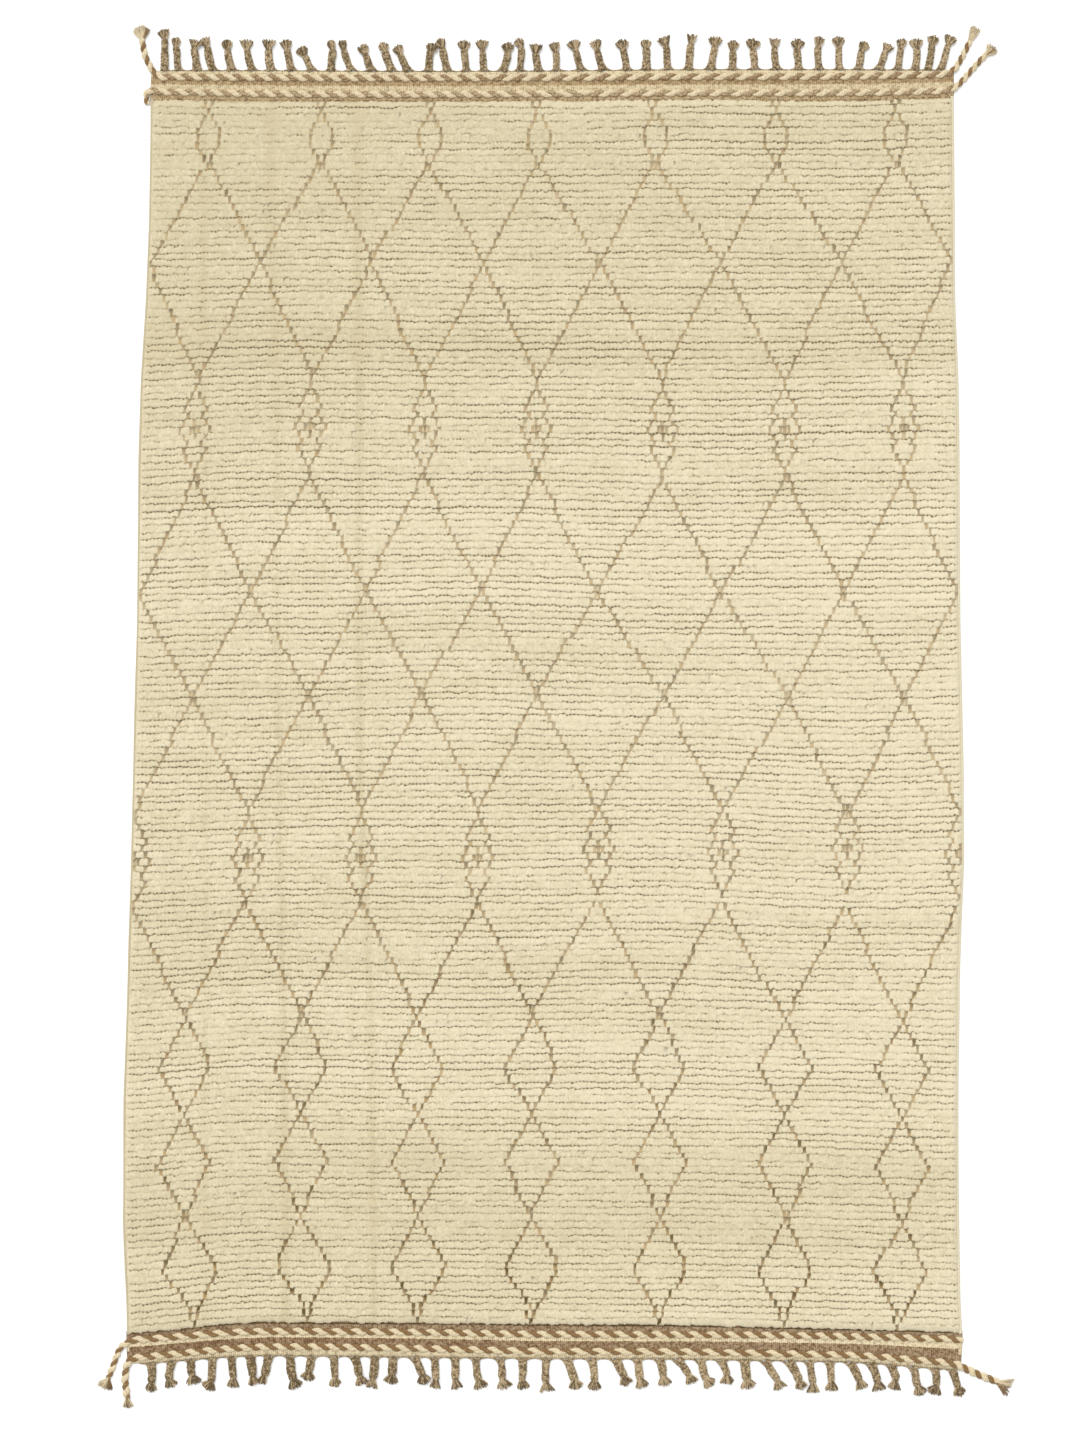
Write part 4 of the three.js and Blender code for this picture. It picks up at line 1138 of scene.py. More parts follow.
def pile_grid():
    """Points, uv and attributes of the whole pile as one grid of lines, four lines to a row."""
    rng = np.random.default_rng(SEED)
    columns = 2 * KNOTS_ACROSS + 1
    courses = KNOT_ROWS + 1
    ragged = groove_openings(rng, columns)
    rows = np.append(np.repeat(np.arange(KNOT_ROWS), LINES_PER_ROW), KNOT_ROWS)
    kinds = np.append(np.tile(np.arange(LINES_PER_ROW), KNOT_ROWS), 0)
    line = ROW_LINES[kinds][:, None]
    # The last line of a row lies beside the next row's groove.
    grooves = np.minimum(rows + (kinds == LINES_PER_ROW - 1), KNOT_ROWS)
    opened = soften(ragged)[grooves]
    share = np.broadcast_to(np.linspace(0, 1, columns), (len(rows), columns))
    from_side = np.minimum(share, 1 - share)
    row_place = rows[:, None] + (line["place"] + line["opened_place"] * opened)
    jags = per_knot(rng, courses, columns, KNOT_JAG)
    jags = jags + rng.uniform(-POINT_JAG, POINT_JAG, jags.shape)
    for reach, amount in JAG_CURVES:
        jags = jags + smooth_noise(rng, courses, columns, reach) * amount
    along = pile_along(share, row_place / KNOT_ROWS) + line["follow"] * jags[grooves]
    drift = smooth_noise(rng, courses, columns, 12)[rows] * CURVE_DRIFT
    drift = drift + per_knot(rng, courses, columns, KNOT_DRIFT)[rows]
    drift = (drift + line["slant"] * KNOT_SLANT) * np.clip(from_side * 60, 0, 1)
    cleft = np.zeros(share.shape)
    cleft[:, ::2] = 1.0
    wobble = per_knot(rng, len(rows), columns, 1.0) * line["wobble"]
    wobble = wobble + smooth_noise(rng, len(rows), columns, 40) * 0.4
    # The pile is lower at its sides and ends, and its first and last lines lie on the cloth.
    rise = line["rise"] + line["opened_rise"] * opened
    rise *= 0.55 + 0.45 * np.clip(from_side * KNOTS_ACROSS, 0, 1)
    near, far = np.array(NEAR_SLOPE), np.array(FAR_SLOPE)
    rise *= np.interp(row_place, [*near[:, 0], *(KNOT_ROWS - far[:, 0])], [*near[:, 1], *far[:, 1]])
    rise[[0, -1]] = PILE_EDGE
    groove = line["groove"] * opened
    groove[[0, -1]] = 0
    x = across_at(share, along, SIDE_MARGIN) + drift
    points = np.stack([x, along, np.full_like(x, PILE_FOOT)], -1)
    marks = {"rise": rise, "groove": groove, "cleft": cleft * line["cleft"], "wobble": wobble,
             "gap": ragged[grooves] * (line["groove"] > 0)}
    uv = np.stack([share * KNOTS_ACROSS, row_place], -1)
    return add_skirts(points, uv, marks)


def add_skirts(points, uv, marks):
    """Adds a column at each side of a grid that goes down to the foundation."""
    skirts = [points[:, :1] - (SKIRT_REACH, 0, 0), points[:, -1:] + (SKIRT_REACH, 0, 0)]
    points = np.concatenate([skirts[0], points, skirts[1]], axis=1)
    uv = np.concatenate([uv[:, :1], uv, uv[:, -1:]], axis=1)
    padded = {}
    for label, values in marks.items():
        edge = np.zeros_like(values[:, :1]) if label != "gap" else values[:, :1]
        padded[label] = np.concatenate([edge, values, edge], axis=1)
    return points, uv, padded


def wool_lots(points, rng):
    """How light each face of the pile is, by the lot of its wool, its place and the painted shade of the
    old folds.
    """
    rows = np.repeat(np.arange(KNOT_ROWS), LINES_PER_ROW)
    starts, values = np.array(LOTS).T
    lot = np.mean([values[np.searchsorted(starts, rows + step, side="right").clip(1) - 1]
                   for step in np.linspace(-LOT_BLEND, LOT_BLEND, 5)], axis=0)
    x, along = points[:-1, :-1, 0], points[:-1, :-1, 1]
    # Streaks run through four rows, and the right of the rug is lighter than its left.
    streaks = smooth_noise(rng, KNOT_ROWS + 4, x.shape[1], 70)
    streaks = (streaks[:-4] + streaks[1:-3] + streaks[2:-2] + streaks[3:-1]) / 2
    light = lot[:, None] + streaks[rows] * 0.5 + x / 1500
    # Painted shade along the old folds.
    for places, amounts in CREASES:
        beside = (x - np.interp(along, CREASE_PLACES, places)) / CREASE_WIDTH
        light = light - CREASE_SHADE * np.interp(along, CREASE_PLACES, amounts) * np.exp(-beside ** 2)
    return light


def make_pile():
    """The knotted pile, in sections of rows."""
    sizes = bpy.context.scene.rug_sizes
    rng = np.random.default_rng(SEED + 1)
    wool = pile_wool()
    tree = relief_tree()
    points, uv, marks = pile_grid()
    brown = lattice()
    fading = np.interp(np.arange(KNOT_ROWS), *np.array(BROWN_LEFT).T)[:, None]
    dyed = np.where(brown, rng.uniform(0.72, 1.0, brown.shape) * fading, 0.0)
    tone = rng.normal(0, 0.45, brown.shape).clip(-1, 1)
    face_rows = np.repeat(np.arange(KNOT_ROWS), LINES_PER_ROW)
    face_knots = np.repeat(np.arange(KNOTS_ACROSS), 2)
    face_knots = np.concatenate([[0], face_knots, [KNOTS_ACROSS - 1]])
    on_faces = {
        "brown": dyed[face_rows][:, face_knots],
        "tone": tone[face_rows][:, face_knots],
        "lean": (leans(brown) + 0.4 * tone)[face_rows][:, face_knots],
        # The lots' lightness, with the painted shade of the old folds.
        "lot": wool_lots(points, rng),
    }
    cuts = np.linspace(0, KNOT_ROWS, PILE_SECTIONS + 1).astype(int) * LINES_PER_ROW
    for number, (low, high) in enumerate(zip(cuts[:-1], cuts[1:]), start=1):
        part = slice(low, high + 1)
        mesh = make_mesh(
            "pile", points[part], grid_faces(high + 1 - low, points.shape[1]), uv[part],
            {label: values[part] for label, values in marks.items()},
            {label: values[low:high] for label, values in on_faces.items()},
        )
        piece = run_tree(
            f"pile_rows_{number}", mesh, tree, height=sizes.pile_height,
            groove_depth=sizes.groove_depth, cleft_depth=sizes.knot_cleft,
            unevenness=sizes.unevenness, material=wool)
        keep(piece, "pile_and_weave", "rug_cloth")


def band_grid(end, rng):
    """Points, uv and attributes of one woven end, from the pile to the cloth's edge."""
    columns = 2 * RIBS_ACROSS + 1
    share = np.linspace(0, 1, columns)
    names = [f"{end}_{line}" for line in ("pile", "inner", "outer", "edge")]
    table = np.array([band_line(name, share) for name in names])
    steps = np.array(BAND_STEPS)
    low = np.minimum(steps.astype(int), 2)
    part = (steps - low)[:, None]
    along = table[low] * (1 - part) + table[low + 1] * part
    outward = 1 if end == "far" else -1
    along[0] -= outward * 2.0
    along[1:-1] += smooth_noise(rng, len(steps) - 2, columns, 5) * 0.5
    along[1:-1] += rng.uniform(-0.7, 0.7, (len(steps) - 2, columns))
    rise = np.ones_like(along)
    rise[0] = 0.6
    rise[-1] = 0.75
    skirt = along[-1:] + outward * 1.0
    along = np.concatenate([along, skirt])
    rise = np.concatenate([rise, np.full_like(skirt, 0.05)])
    place = np.append(steps, 3.05)
    x = across_at(share[None, :], along)
    edge = np.clip(np.minimum(share, 1 - share) * RIBS_ACROSS / 1.5, 0, 1)
    rise = rise * (0.6 + 0.4 * np.sqrt(edge))
    cleft = np.zeros_like(x)
    cleft[:, ::2] = 1.0
    cleft[-1] = 0
    wobble = rng.uniform(-1, 1, x.shape)
    wobble[-1] = 0
    picks = np.broadcast_to(place[:, None] * PICKS, x.shape)
    points = np.stack([x, along, np.zeros_like(x)], -1)
    uv = np.stack([np.broadcast_to(share * RIBS_ACROSS, x.shape), picks], -1)
    marks = {"rise": rise, "groove": np.zeros_like(x), "cleft": cleft, "wobble": wobble}
    return points, uv, marks, place


def band_dye(end, middle, columns):
    """How brown each face of a woven end is, by its lines' places between the pile and the edge, with
    painted shadow where it is over one.
    """
    look = WOVEN_ENDS[end]
    dye = np.where(middle < 1, look["inner"], look["cream"])
    dye = np.where(middle < BAND_STEPS[1], look["edge"], dye)
    dye = np.where((middle > look["break"]) & (middle < 2), OUTER_STRIPE_DYE, dye)
    dye = np.where(middle > 2, EDGE_STRIPE_DYE, dye)
    dye = np.repeat(dye[:, None], columns, axis=1)
    # Next to the pile the dye and the pile edge's painted shadow come in spots.
    spots = np.repeat(np.random.default_rng(SEED + 9).uniform(0.35, 1.25, RIBS_ACROSS + 1), 2)
    dye[0] *= spots[:columns]
    if end == "near":
        # The right has faded, and at both sides the last warps have cream over the outer brown stripe.
        dye[1:] *= np.linspace(1.0, 0.88, columns)
        outer = (middle > look["break"]) & (middle < 1.7)
        dye[outer, :3] = 0.0
        dye[outer, -4:] = 0.0
    return dye


def make_bands():
    """The two woven ends, each with a brown and a cream stripe either side of its cords."""
    sizes = bpy.context.scene.rug_sizes
    colours = bpy.context.scene.rug_colours
    tree = relief_tree()
    for end, look in WOVEN_ENDS.items():
        wool = woven_wool(f"weft_faced_wool_{end}", getattr(colours, look["brown"]))
        points, uv, marks, place = band_grid(end, np.random.default_rng(SEED + 2))
        points, uv, marks = add_skirts(points, uv, marks)
        faces = grid_faces(*points.shape[:2])
        if end == "near":
            faces = faces[:, ::-1]
        dye = band_dye(end, (place[:-1] + place[1:]) / 2, points.shape[1] - 1)
        mesh = make_mesh("band", points, faces, uv, marks, {"dye": dye})
        piece = run_tree(
            f"woven_end_{end}", mesh, tree, height=BAND_TOP * MM, groove_depth=0.0,
            cleft_depth=sizes.rib_depth, unevenness=0.25 * MM, material=wool)
        keep(piece, "pile_and_weave", "rug_cloth")


def make_foundation():
    """The cloth that carries everything, whose underside shows the back of the knots."""
    columns = KNOTS_ACROSS // 2 + 1
    share = np.linspace(0, 1, columns)
    ends = {}
    for end, look in WOVEN_ENDS.items():
        edge, outer, inner = [band_line(f"{end}_{line}", share) for line in ("edge", "outer", "inner")]
        ends[end] = [edge, outer, inner + (outer - inner) * (look["break"] - 1), inner]
    progress = np.linspace(0, 1, KNOT_ROWS + 1)[:, None]
    rows = pile_along(share[None, :], progress)
    along = np.vstack([ends["near"], rows, ends["far"][::-1]])
    beyond = np.array([1, 2, 3, 4.5])
    row_place = np.concatenate([-beyond[::-1], np.arange(KNOT_ROWS + 1), KNOT_ROWS + beyond])
    x = across_at(share[None, :], along, 1.0)
    lines = len(along)
    bottom = np.stack([x, along, np.full_like(x, FOUNDATION_BOTTOM)], -1)
    faces = grid_faces(lines, columns)[:, ::-1]
    brown = lattice()
    on_faces = {label: np.zeros((lines - 1, columns - 1))
                for label in ("left_brown", "right_brown", "knotted", "stripe")}
    pile = slice(len(beyond), -len(beyond))
    on_faces["left_brown"][pile] = brown[:, ::2]
    on_faces["right_brown"][pile] = brown[:, 1::2]
    on_faces["knotted"][pile] = 1.0
    on_faces["stripe"][[1, 3]] = 0.9
    on_faces["stripe"][[-2, -4]] = 0.5
    number = np.arange(lines * columns).reshape(lines, columns)
    ring = np.concatenate([number[0, :-1], number[:-1, -1], number[-1, :0:-1], number[:0:-1, 0]])
    top = bottom.reshape(-1, 3)[ring].copy()
    top[:, 2] = FOUNDATION_TOP
    upper = lines * columns + np.arange(len(ring))
    walls = np.stack([ring, np.roll(ring, -1), np.roll(upper, -1), upper], 1)
    points = np.vstack([bottom.reshape(-1, 3), top])
    uv = np.stack([np.broadcast_to(share * KNOTS_ACROSS, x.shape),
                   np.broadcast_to(row_place[:, None], x.shape)], -1).reshape(-1, 2)
    uv = np.vstack([uv, uv[ring]])
    on_faces = {label: np.append(values, np.zeros(len(walls))) for label, values in on_faces.items()}
    mesh = make_mesh("foundation", points, np.vstack([faces, walls]), uv, (), on_faces)
    close_top(mesh, upper)
    mesh.materials.append(back_wool())
    piece = bpy.data.objects.new("knotted_foundation", mesh)
    bpy.context.scene.collection.objects.link(piece)
    return keep(piece, "pile_and_weave", "rug_cloth")


def close_top(mesh, ring):
    """Closes a mesh with one face over a ring of its points."""
    shape = bmesh.new()
    shape.from_mesh(mesh)
    shape.verts.ensure_lookup_table()
    shape.faces.new([shape.verts[int(number)] for number in ring])
    shape.to_mesh(mesh)
    shape.free()


def make_selvedges():
    """The overcast sides of the pile."""
    sizes = bpy.context.scene.rug_sizes
    colours = bpy.context.scene.rug_colours
    wool = yarn_wool("overcast_wool_side", colours.cream_light, colours.groove, 3.5 * MM, 1.0,
                     2 * MM, 0.8)
    tree = overcast_tree()
    for name, side, share, inward, seed, dye in (
        ("left", left_side, 0.0, 3.7, SEED + 3, 0.5), ("right", right_side, 1.0, -3.7, SEED + 4, 0.1),
    ):
        along = np.linspace(band_line("near_pile", share) - 3, band_line("far_pile", share) + 3, 140)
        sway = smooth_noise(np.random.default_rng(seed), 1, len(along), 9)[0] * 0.8
        line = np.stack([side(along) + inward + sway, along, np.full_like(along, SIDE_CENTRE)], -1)
        lay_yarns(
            f"overcast_side_{name}", "pile_and_weave", "rug_cloth", tree,
            make_lines("side", [line], tone=0.0, dye=dye), radius=3.4 * MM,
            pitch=sizes.overcast_pitch, bulge=0.8 * MM, flatness=0.82, sides=7, material=wool)


def read_braids(fringe):
    """The braids of a fringe's chart: root, lean, length and the width of the frayed end."""
    braids = []
    x = float(fringe["first_root"])
    for index, letter in enumerate(fringe["leans"]):
        lean = (ord(letter) - ord("i")) * CHART_LEAN_STEP
        length = CHART_LENGTH[0] + int(fringe["lengths"][index]) * CHART_LENGTH[1]
        edge = float(band_line_at(fringe["edge"], x))
        braids.append({"x": x, "lean": lean, "length": length, "edge": edge})
        if index < len(fringe["gaps"]):
            x += CHART_GAP[0] + int(fringe["gaps"][index]) * CHART_GAP[1]
    for index, braid in enumerate(braids):
        others = braids[max(index - 1, 0):index] + braids[index + 1:index + 2]
        braid["room"] = min(tip_room(braid, other) for other in others)
        braid["fray"] = min(FRAY_WIDTH, braid["room"] - BRAID_SPACING)
        braid["width"] = min(BRAID_WIDTH, braid["fray"])
    return braids


def braid_x(braid, reach):
    """How far across a braid lies at a distance from the cloth."""
    return braid["x"] + braid["lean"] * (reach / braid["length"]) ** BRAID_BOW


def tip_room(braid, other):
    """The distance between two braids where the shorter one ends."""
    reach = min(braid["length"], other["length"])
    return abs(braid_x(braid, reach) - braid_x(other, reach))


def fray(rng, fibres, origin, heading, length, spread, count, spots, mix=0.3):
    """Adds the fibres of one frayed end, which fan out from a neck and rest on the floor.

    The fibres are lists of lines, tones and dyes. The spots are the dyes from the right of the end to
    its left, and mix says how far they mingle.
    """
    lines, tones, dyes = fibres
    rounding = rng.uniform(0.0, 0.4)
    direction = np.array([math.cos(heading), math.sin(heading)])
    normal = np.array([-direction[1], direction[0]])
    for number in range(count):
        place = (number + rng.uniform(0.2, 0.8)) / count * 2 - 1
        place_up = rng.uniform(-1, 1)
        reach = length * (1 - rounding * place * place) * rng.uniform(0.8, 1.06)
        neck = origin[:2] + normal * place * NECK_REACH
        tip = neck + direction * reach + normal * (place * spread + rng.uniform(-1.2, 1.2))
        low = origin[2] + place_up * NECK_RISE
        end = max(LOWEST_FIBRE, origin[2] + place_up * END_RISE - 0.6)
        bend = neck + direction * reach * 0.5 + normal * place * spread * (0.5 + 0.5 * rounding)
        lines.append(np.array([
            [*(neck - direction * 4), low],
            [*neck, low + 0.3],
            [*bend, (low + end) / 2 + 0.7],
            [*tip, end],
        ]))
        tones.append(rng.uniform(-1, 1))
        spot = (place + rng.uniform(-mix, mix) + 1) / 2 * len(spots)
        dyes.append(spots[int(np.clip(spot, 0, len(spots) - 1))])


def lay_fibres(name, slot, node, tree, fibres, girth, **values):
    """Lays the fibres of frayed ends, each with the given girths along it, its tone and its dye."""
    lines, tones, dyes = fibres
    girths = [girth] * len(lines)
    mesh = make_lines("fibres", lines, girth=girths, phase=0.0, tone=tones, dye=dyes)
    return lay_yarns(name, slot, node, tree, mesh, sides=4, **values)


def braid_route(rng, braid, fringe):
    """A braid's line over the floor, and its girth at each point of the line."""
    neck = braid["length"] - FRAY_LENGTH + 1
    reach = np.linspace(BRAID_START, neck, BRAID_POINTS)
    sway = smooth_noise(rng, 1, BRAID_POINTS, 4)[0] * 2.4 * np.linspace(0, 1, BRAID_POINTS)
    x = braid_x(braid, reach) + sway
    y = braid["edge"] + fringe["outward"] * reach
    shape = np.interp(reach, [BRAID_START, BRAID_START + 6, neck - 6, neck], [1.12, 1.0, 1.0, 0.8])
    uneven = 1 + 0.12 * smooth_noise(rng, 1, BRAID_POINTS, 3)[0]
    girth = braid["width"] / BRAID_WIDTH * fringe["girth"] * shape * uneven * rng.uniform(0.9, 1.08)
    return np.stack([x, y, np.full_like(x, BRAID_CENTRE)], -1), girth


def make_fringe():
    """The braided warp ends, their frayed tips and the gathered warps at their roots."""
    sizes = bpy.context.scene.rug_sizes
    colours = bpy.context.scene.rug_colours
    wool = yarn_wool("braided_warp_wool", colours.warp_light, colours.warp_dark, 5 * MM, 2.0,
                     5 * MM, 4.5)
    tree = yarn_tree()
    for number, (end, fringe) in enumerate(FRINGES.items()):
        rng = np.random.default_rng(SEED + 5 + number)
        braids = read_braids(fringe)
        routes = []
        girths = []
        dyes = []
        fibres = ([], [], [])
        for braid in braids:
            route, girth = braid_route(rng, braid, fringe)
            routes.append(route)
            girths.append(girth)
            heading = math.atan2(route[-1, 1] - route[-3, 1], route[-1, 0] - route[-3, 0])
            heading += float(np.clip(rng.normal(0, 0.22), -0.5, 0.5))
            spread = max(braid["fray"] / 2, 5.0) * fringe["girth"] * rng.uniform(0.7, 1.15)
            dyes.append(float(np.interp(braid["x"], DYE_PLACES, fringe["dyes"])))
            spots = (dyes[-1] - 0.45, dyes[-1] + 0.35)
            fray(rng, fibres, route[-1], heading, FRAY_LENGTH, spread, BRAID_FIBRES, spots, mix=3.0)
        phases = list(rng.uniform(0, 6.28, len(braids)))
        tones = list(rng.uniform(-0.5, 0.5, len(braids)))
        slot = ("warp_braids", f"fringe_{end}", tree)
        lay_yarns(
            f"braids_{end}", *slot,
            make_lines("braids", routes, girth=girths, phase=phases, tone=tones, dye=dyes),
            strands=3, reach_across=5.3 * MM, reach_up=1.7 * MM, crossings=2.0, up_phase=0.0,
            turn=sizes.braid_turn, yarn_radius=sizes.braid_strand, flatness=0.68, step=2.2 * MM,
            sides=6, material=wool)
        lay_fibres(
            f"frayed_tips_{end}", *slot, fibres, (1.0, 1.0, 1.0, 0.7),
            yarn_radius=1.7 * MM, step=5.5 * MM, material=wool)
        lay_yarns(
            f"gathered_warps_{end}", *slot, gathered_warps(fringe, braids),
            yarn_radius=2.0 * MM, step=3.5 * MM, sides=6, flatness=0.9, material=wool)


def gathered_warps(fringe, braids):
    """Lines of the warps that run along the cloth's edge into each braid from both sides."""
    roots = [braid["x"] for braid in braids]
    first, last = fringe["ends"]
    middles = [first + 2, *[(a + b) / 2 for a, b in zip(roots, roots[1:])], last - 2]
    lines = []
    for braid, left, right in zip(braids, middles, middles[1:]):
        for start in (left, right):
            side = 1 if start > braid["x"] else -1
            x = braid["x"] + side * abs(start - braid["x"]) * GATHERED["share"]
            reach = GATHERED["reach"].copy()
            if side * braid["lean"] >= 0:
                # On the side that the braid leans to, the warps are drawn out less.
                reach[-2:] *= 0.5
            x[-1] += 0.6 * (braid_x(braid, reach[-1]) - braid["x"])
            y = band_line_at(fringe["edge"], x) + fringe["outward"] * reach
            lines.append(np.stack([x, y, GATHERED["height"]], -1))
    girths = [GATHERED["girth"]] * len(lines)
    return make_lines("warps", lines, girth=girths, phase=0.0, tone=0.0, dye=0.5)


def smooth_route(points, spacing):
    """A route through points as a smooth line with a place every spacing."""
    points = np.asarray(points, float)
    padded = np.vstack([2 * points[0] - points[1], points, 2 * points[-1] - points[-2]])
    made = []
    for a, b, c, d in zip(padded, padded[1:], padded[2:], padded[3:]):
        count = max(2, int(np.linalg.norm(c - b) / spacing))
        t = np.linspace(0, 1, count, endpoint=False)[:, None]
        made.append(0.5 * (2 * b + (c - a) * t + (2 * a - 5 * b + 4 * c - d) * t ** 2
                           + (3 * b - a - 3 * c + d) * t ** 3))
    made.append(points[-1:])
    return np.vstack(made)


def lengths_along(line):
    """The length from a line's start to each of its points."""
    return np.append(0, np.cumsum(np.linalg.norm(np.diff(line, axis=0), axis=1)))


def cord_route(name, cord):
    """A cord's line, over the rug and down to the floor, without the tails' frayed ends."""
    x = np.linspace(cord["start"][-1][0], cord["end"][0][0], 90)[1:-1]
    middle = np.stack([x, band_line_at(name, x), np.full_like(x, CORD_SEAT)], -1)
    route = smooth_route([*cord["start"], *middle, *cord["end"]], 6.0)
    route[:, 2] = np.maximum(route[:, 2], CORD_LOWEST) + CORD_HALF_HEIGHT
    length = lengths_along(route)
    first, last = [frayed for _, frayed in cord["frays"]]
    return route[(length >= first) & (length <= length[-1] - last)]


def cord_phase(cord, route, length, tail):
    """What turns a cord's even twist into its own: turns of other lengths, and the change of hand."""
    turn = np.interp(route[:, 0], TURN_PLACES, cord["turns"])
    turn = turn + tail * (TAIL_TURN - turn)
    angle = np.append(0, np.cumsum(np.diff(length) * 2 / (turn[1:] + turn[:-1]))) * 2 * math.pi
    change = length[-1] * cord["hand_change"]
    even = np.abs(length - change) * 2 * math.pi / np.mean(cord["turns"])
    return np.abs(angle - np.interp(change, length, angle)) - even


def make_cords():
    """The four twined cords, with their tails and the tails' frayed ends."""
    sizes = bpy.context.scene.rug_sizes
    colours = bpy.context.scene.rug_colours
    wool = yarn_wool("twined_wool", colours.cord_cream, colours.cord_brown, 9 * MM, 3.0, 4 * MM, 2.0)
    tree = yarn_tree()
    for number, (name, cord) in enumerate(CORDS.items()):
        rng = np.random.default_rng(SEED + 10 + number)
        node = f"twined_cord_{name}"
        route = cord_route(name, cord)
        length = lengths_along(route)
        # Outside the cloth the tails are twisted tighter, have their own girth and have faded less.
        before = np.clip((cord["start"][-1][0] - route[:, 0]) / TAIL_BLEND, 0, 1)
        after = np.clip((route[:, 0] - cord["end"][0][0]) / TAIL_BLEND, 0, 1)
        tail = before + after
        first_girth, last_girth = cord["tail_girths"]
        girth = np.interp(length, [0, 8, length[-1] - 8, length[-1]], [0.8, 1, 1, 0.8])
        girth *= 1 + before * (first_girth - 1) + after * (last_girth - 1)
        dye = cord["dye"] + tail * (1 - cord["dye"])
        phase = cord_phase(cord, route, length, tail)
        mesh = make_lines("cord", [route], girth=[girth], phase=[phase], tone=0.0, dye=[dye])
        piece = run_tree(
            f"twined_yarns_{name}", mesh, tree, strands=2, reach_across=3.6 * MM, quickness=1.0,
            reach_up=1.8 * MM, turn=float(np.mean(cord["turns"])) * MM,
            hand_change=length[-1] * cord["hand_change"] * MM, yarn_radius=sizes.cord_yarn,
            thinning=cord["thinning"], bulge=0.5, flatness=0.48, step=2.6 * MM, sides=8,
            material=wool)
        wrap_uv(piece.data)
        # The first yarn is cream, and the second one has the dye.
        dye = get_attribute(piece.data, "strand") * get_attribute(piece.data, "dye") + 0.05
        piece.data.attributes["dye"].data.foreach_set("value", dye)
        keep(piece, "twined_yarns", node)
        fibres = ([], [], [])
        ends = zip(cord["frays"], cord["frayed_dyes"], (0, -1), (3, -4))
        for (width, frayed), spots, at, inner in ends:
            if frayed:
                step = route[at] - route[inner]
                heading = math.atan2(step[1], step[0])
                fray(rng, fibres, route[at], heading, frayed, width / 2, CORD_FIBRES, spots)
        lay_fibres(f"cord_ends_{name}", "twined_yarns", node, tree, fibres, (1.0, 1.0, 0.8, 0.4),
                   yarn_radius=1.5 * MM, step=6 * MM, material=wool)


def make_stage():
    """Floor, light and the camera straight above, which frames the rug as the photograph does."""
    scene = bpy.context.scene
    bpy.ops.mesh.primitive_plane_add(size=160.0, location=(0, 0, -0.4 * MM))
    floor = bpy.context.object
    floor.name = "studio_floor"
    floor.data.materials.append(floor_paper())
    world = bpy.data.worlds.new("studio")
    world.use_nodes = True
    backdrop = world.node_tree.nodes["Background"]
    backdrop.inputs["Color"].default_value = (1.0, 1.0, 1.0, 1.0)
    backdrop.inputs["Strength"].default_value = 0.9
    scene.world = world
    lamp = bpy.data.lights.new("softbox", "SUN")
    lamp.energy = 1.95
    lamp.angle = math.radians(40)
    softbox = bpy.data.objects.new("softbox", lamp)
    softbox.rotation_euler = (math.radians(-38), math.radians(-18), 0)
    scene.collection.objects.link(softbox)
    lens = bpy.data.cameras.new("overhead")
    lens.sensor_width = SENSOR
    lens.lens = SENSOR * CAMERA_HEIGHT / VIEW_HEIGHT
    lens.clip_end = 100.0
    camera = bpy.data.objects.new("overhead", lens)
    centre = (np.array([*VIEW_CENTRE, CAMERA_HEIGHT]) + FRAME_SHIFT) * MM
    camera.location = tuple(centre)
    scene.collection.objects.link(camera)
    scene.camera = camera
    scene.view_settings.view_transform = "Standard"


class RUG_OT_foundation(bpy.types.Operator):
    """Makes the foundation cloth with the knots' back."""

    bl_idname = "rug.foundation"
    bl_label = "Foundation"

    def execute(self, context):
        make_foundation()
        return {"FINISHED"}


class RUG_OT_pile(bpy.types.Operator):
    """Makes the knotted pile with its lattice."""

    bl_idname = "rug.pile"
    bl_label = "Pile"

    def execute(self, context):
        make_pile()
        return {"FINISHED"}


class RUG_OT_woven_ends(bpy.types.Operator):
    """Makes the two striped, woven ends."""

    bl_idname = "rug.woven_ends"
    bl_label = "Woven Ends"

    def execute(self, context):
        make_bands()
        return {"FINISHED"}


class RUG_OT_sides(bpy.types.Operator):
    """Makes the overcast sides."""

    bl_idname = "rug.sides"
    bl_label = "Overcast Sides"

    def execute(self, context):
        make_selvedges()
        return {"FINISHED"}


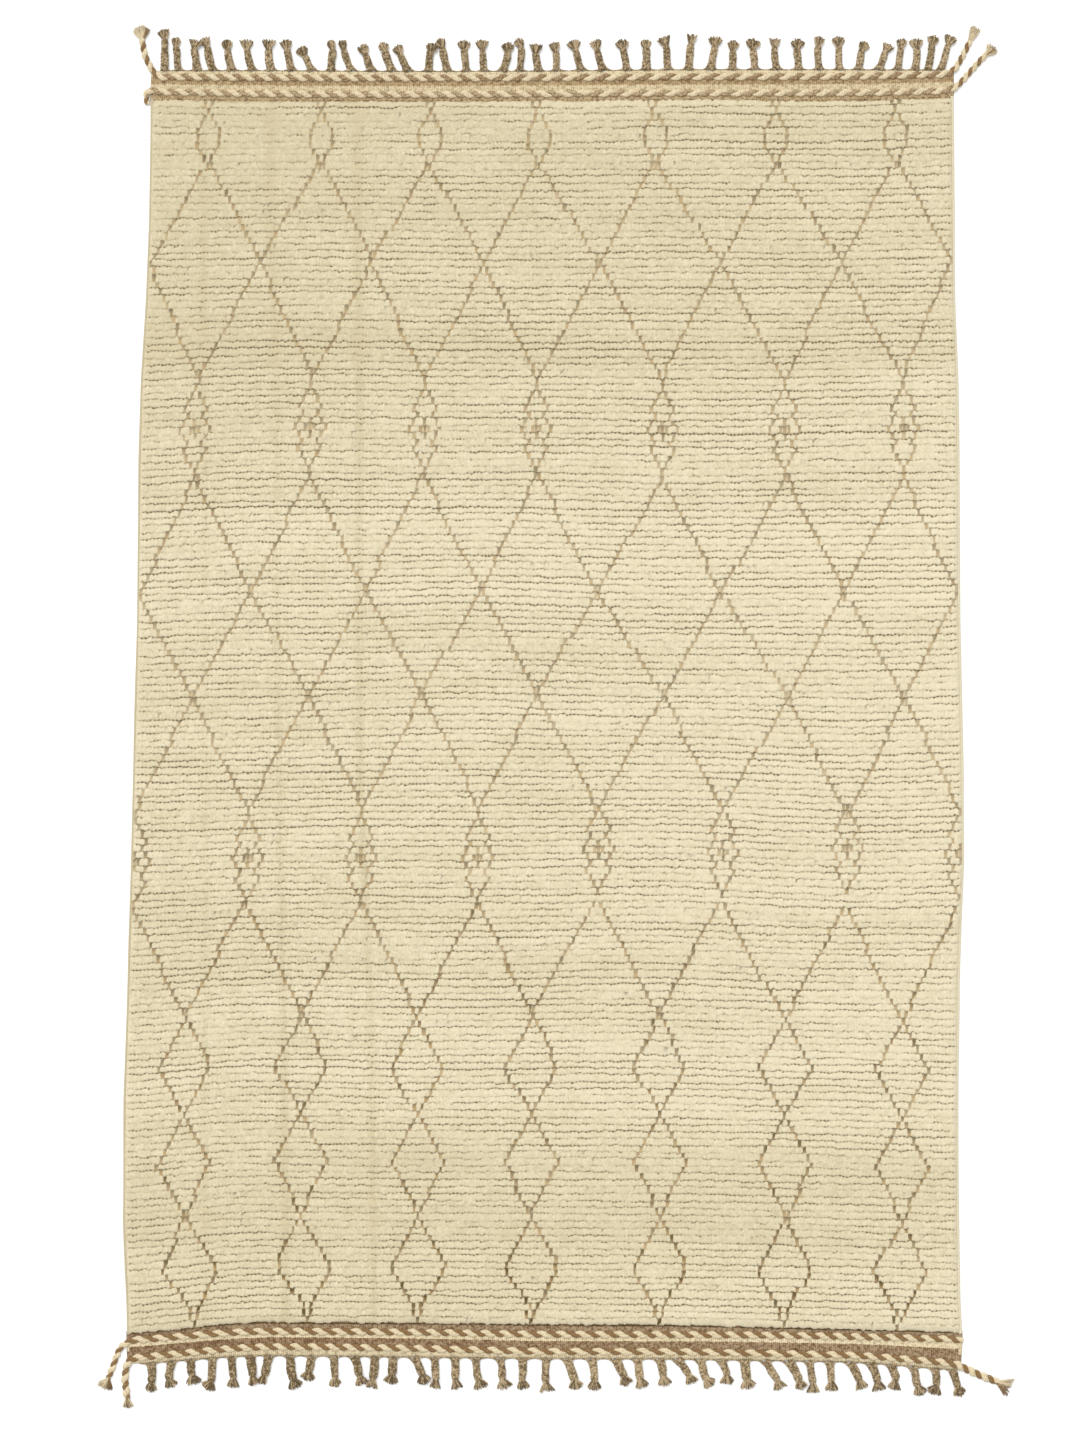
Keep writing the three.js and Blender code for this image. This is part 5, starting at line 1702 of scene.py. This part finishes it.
class RUG_OT_cords(bpy.types.Operator):
    """Makes the twined cords and their tails."""

    bl_idname = "rug.cords"
    bl_label = "Twined Cords"

    def execute(self, context):
        make_cords()
        return {"FINISHED"}


class RUG_OT_fringe(bpy.types.Operator):
    """Makes the braided fringe."""

    bl_idname = "rug.fringe"
    bl_label = "Braided Fringe"

    def execute(self, context):
        make_fringe()
        return {"FINISHED"}


class RUG_OT_stage(bpy.types.Operator):
    """Makes the floor, the light and the camera."""

    bl_idname = "rug.stage"
    bl_label = "Stage"

    def execute(self, context):
        make_stage()
        return {"FINISHED"}


OPERATORS = (RUG_OT_stage, RUG_OT_foundation, RUG_OT_pile, RUG_OT_woven_ends, RUG_OT_sides,
             RUG_OT_cords, RUG_OT_fringe)


class RUG_PT_panel(bpy.types.Panel):
    """Lists the rug's pieces, sizes and colours in the sidebar."""

    bl_label = "Rug"
    bl_idname = "RUG_PT_panel"
    bl_space_type = "VIEW_3D"
    bl_region_type = "UI"
    bl_category = "Rug"

    def draw(self, context):
        for operator in OPERATORS:
            self.layout.operator(operator.bl_idname)
        for group in (context.scene.rug_sizes, context.scene.rug_colours):
            for name in group.__annotations__:
                self.layout.prop(group, name)


CLASSES = (RugSizes, RugColours, *OPERATORS, RUG_PT_panel)


def register():
    """Registers the classes and gives the scene its sizes and colours."""
    for kind in CLASSES:
        bpy.utils.register_class(kind)
    bpy.types.Scene.rug_sizes = bpy.props.PointerProperty(type=RugSizes)
    bpy.types.Scene.rug_colours = bpy.props.PointerProperty(type=RugColours)


def unregister():
    """Takes the sizes, the colours and the classes away again."""
    del bpy.types.Scene.rug_colours
    del bpy.types.Scene.rug_sizes
    for kind in reversed(CLASSES):
        bpy.utils.unregister_class(kind)


def main():
    """Makes every piece in order."""
    register()
    bpy.ops.rug.stage()
    bpy.ops.rug.foundation()
    bpy.ops.rug.pile()
    bpy.ops.rug.woven_ends()
    bpy.ops.rug.sides()
    bpy.ops.rug.cords()
    bpy.ops.rug.fringe()


if __name__ == "__main__":
    main()
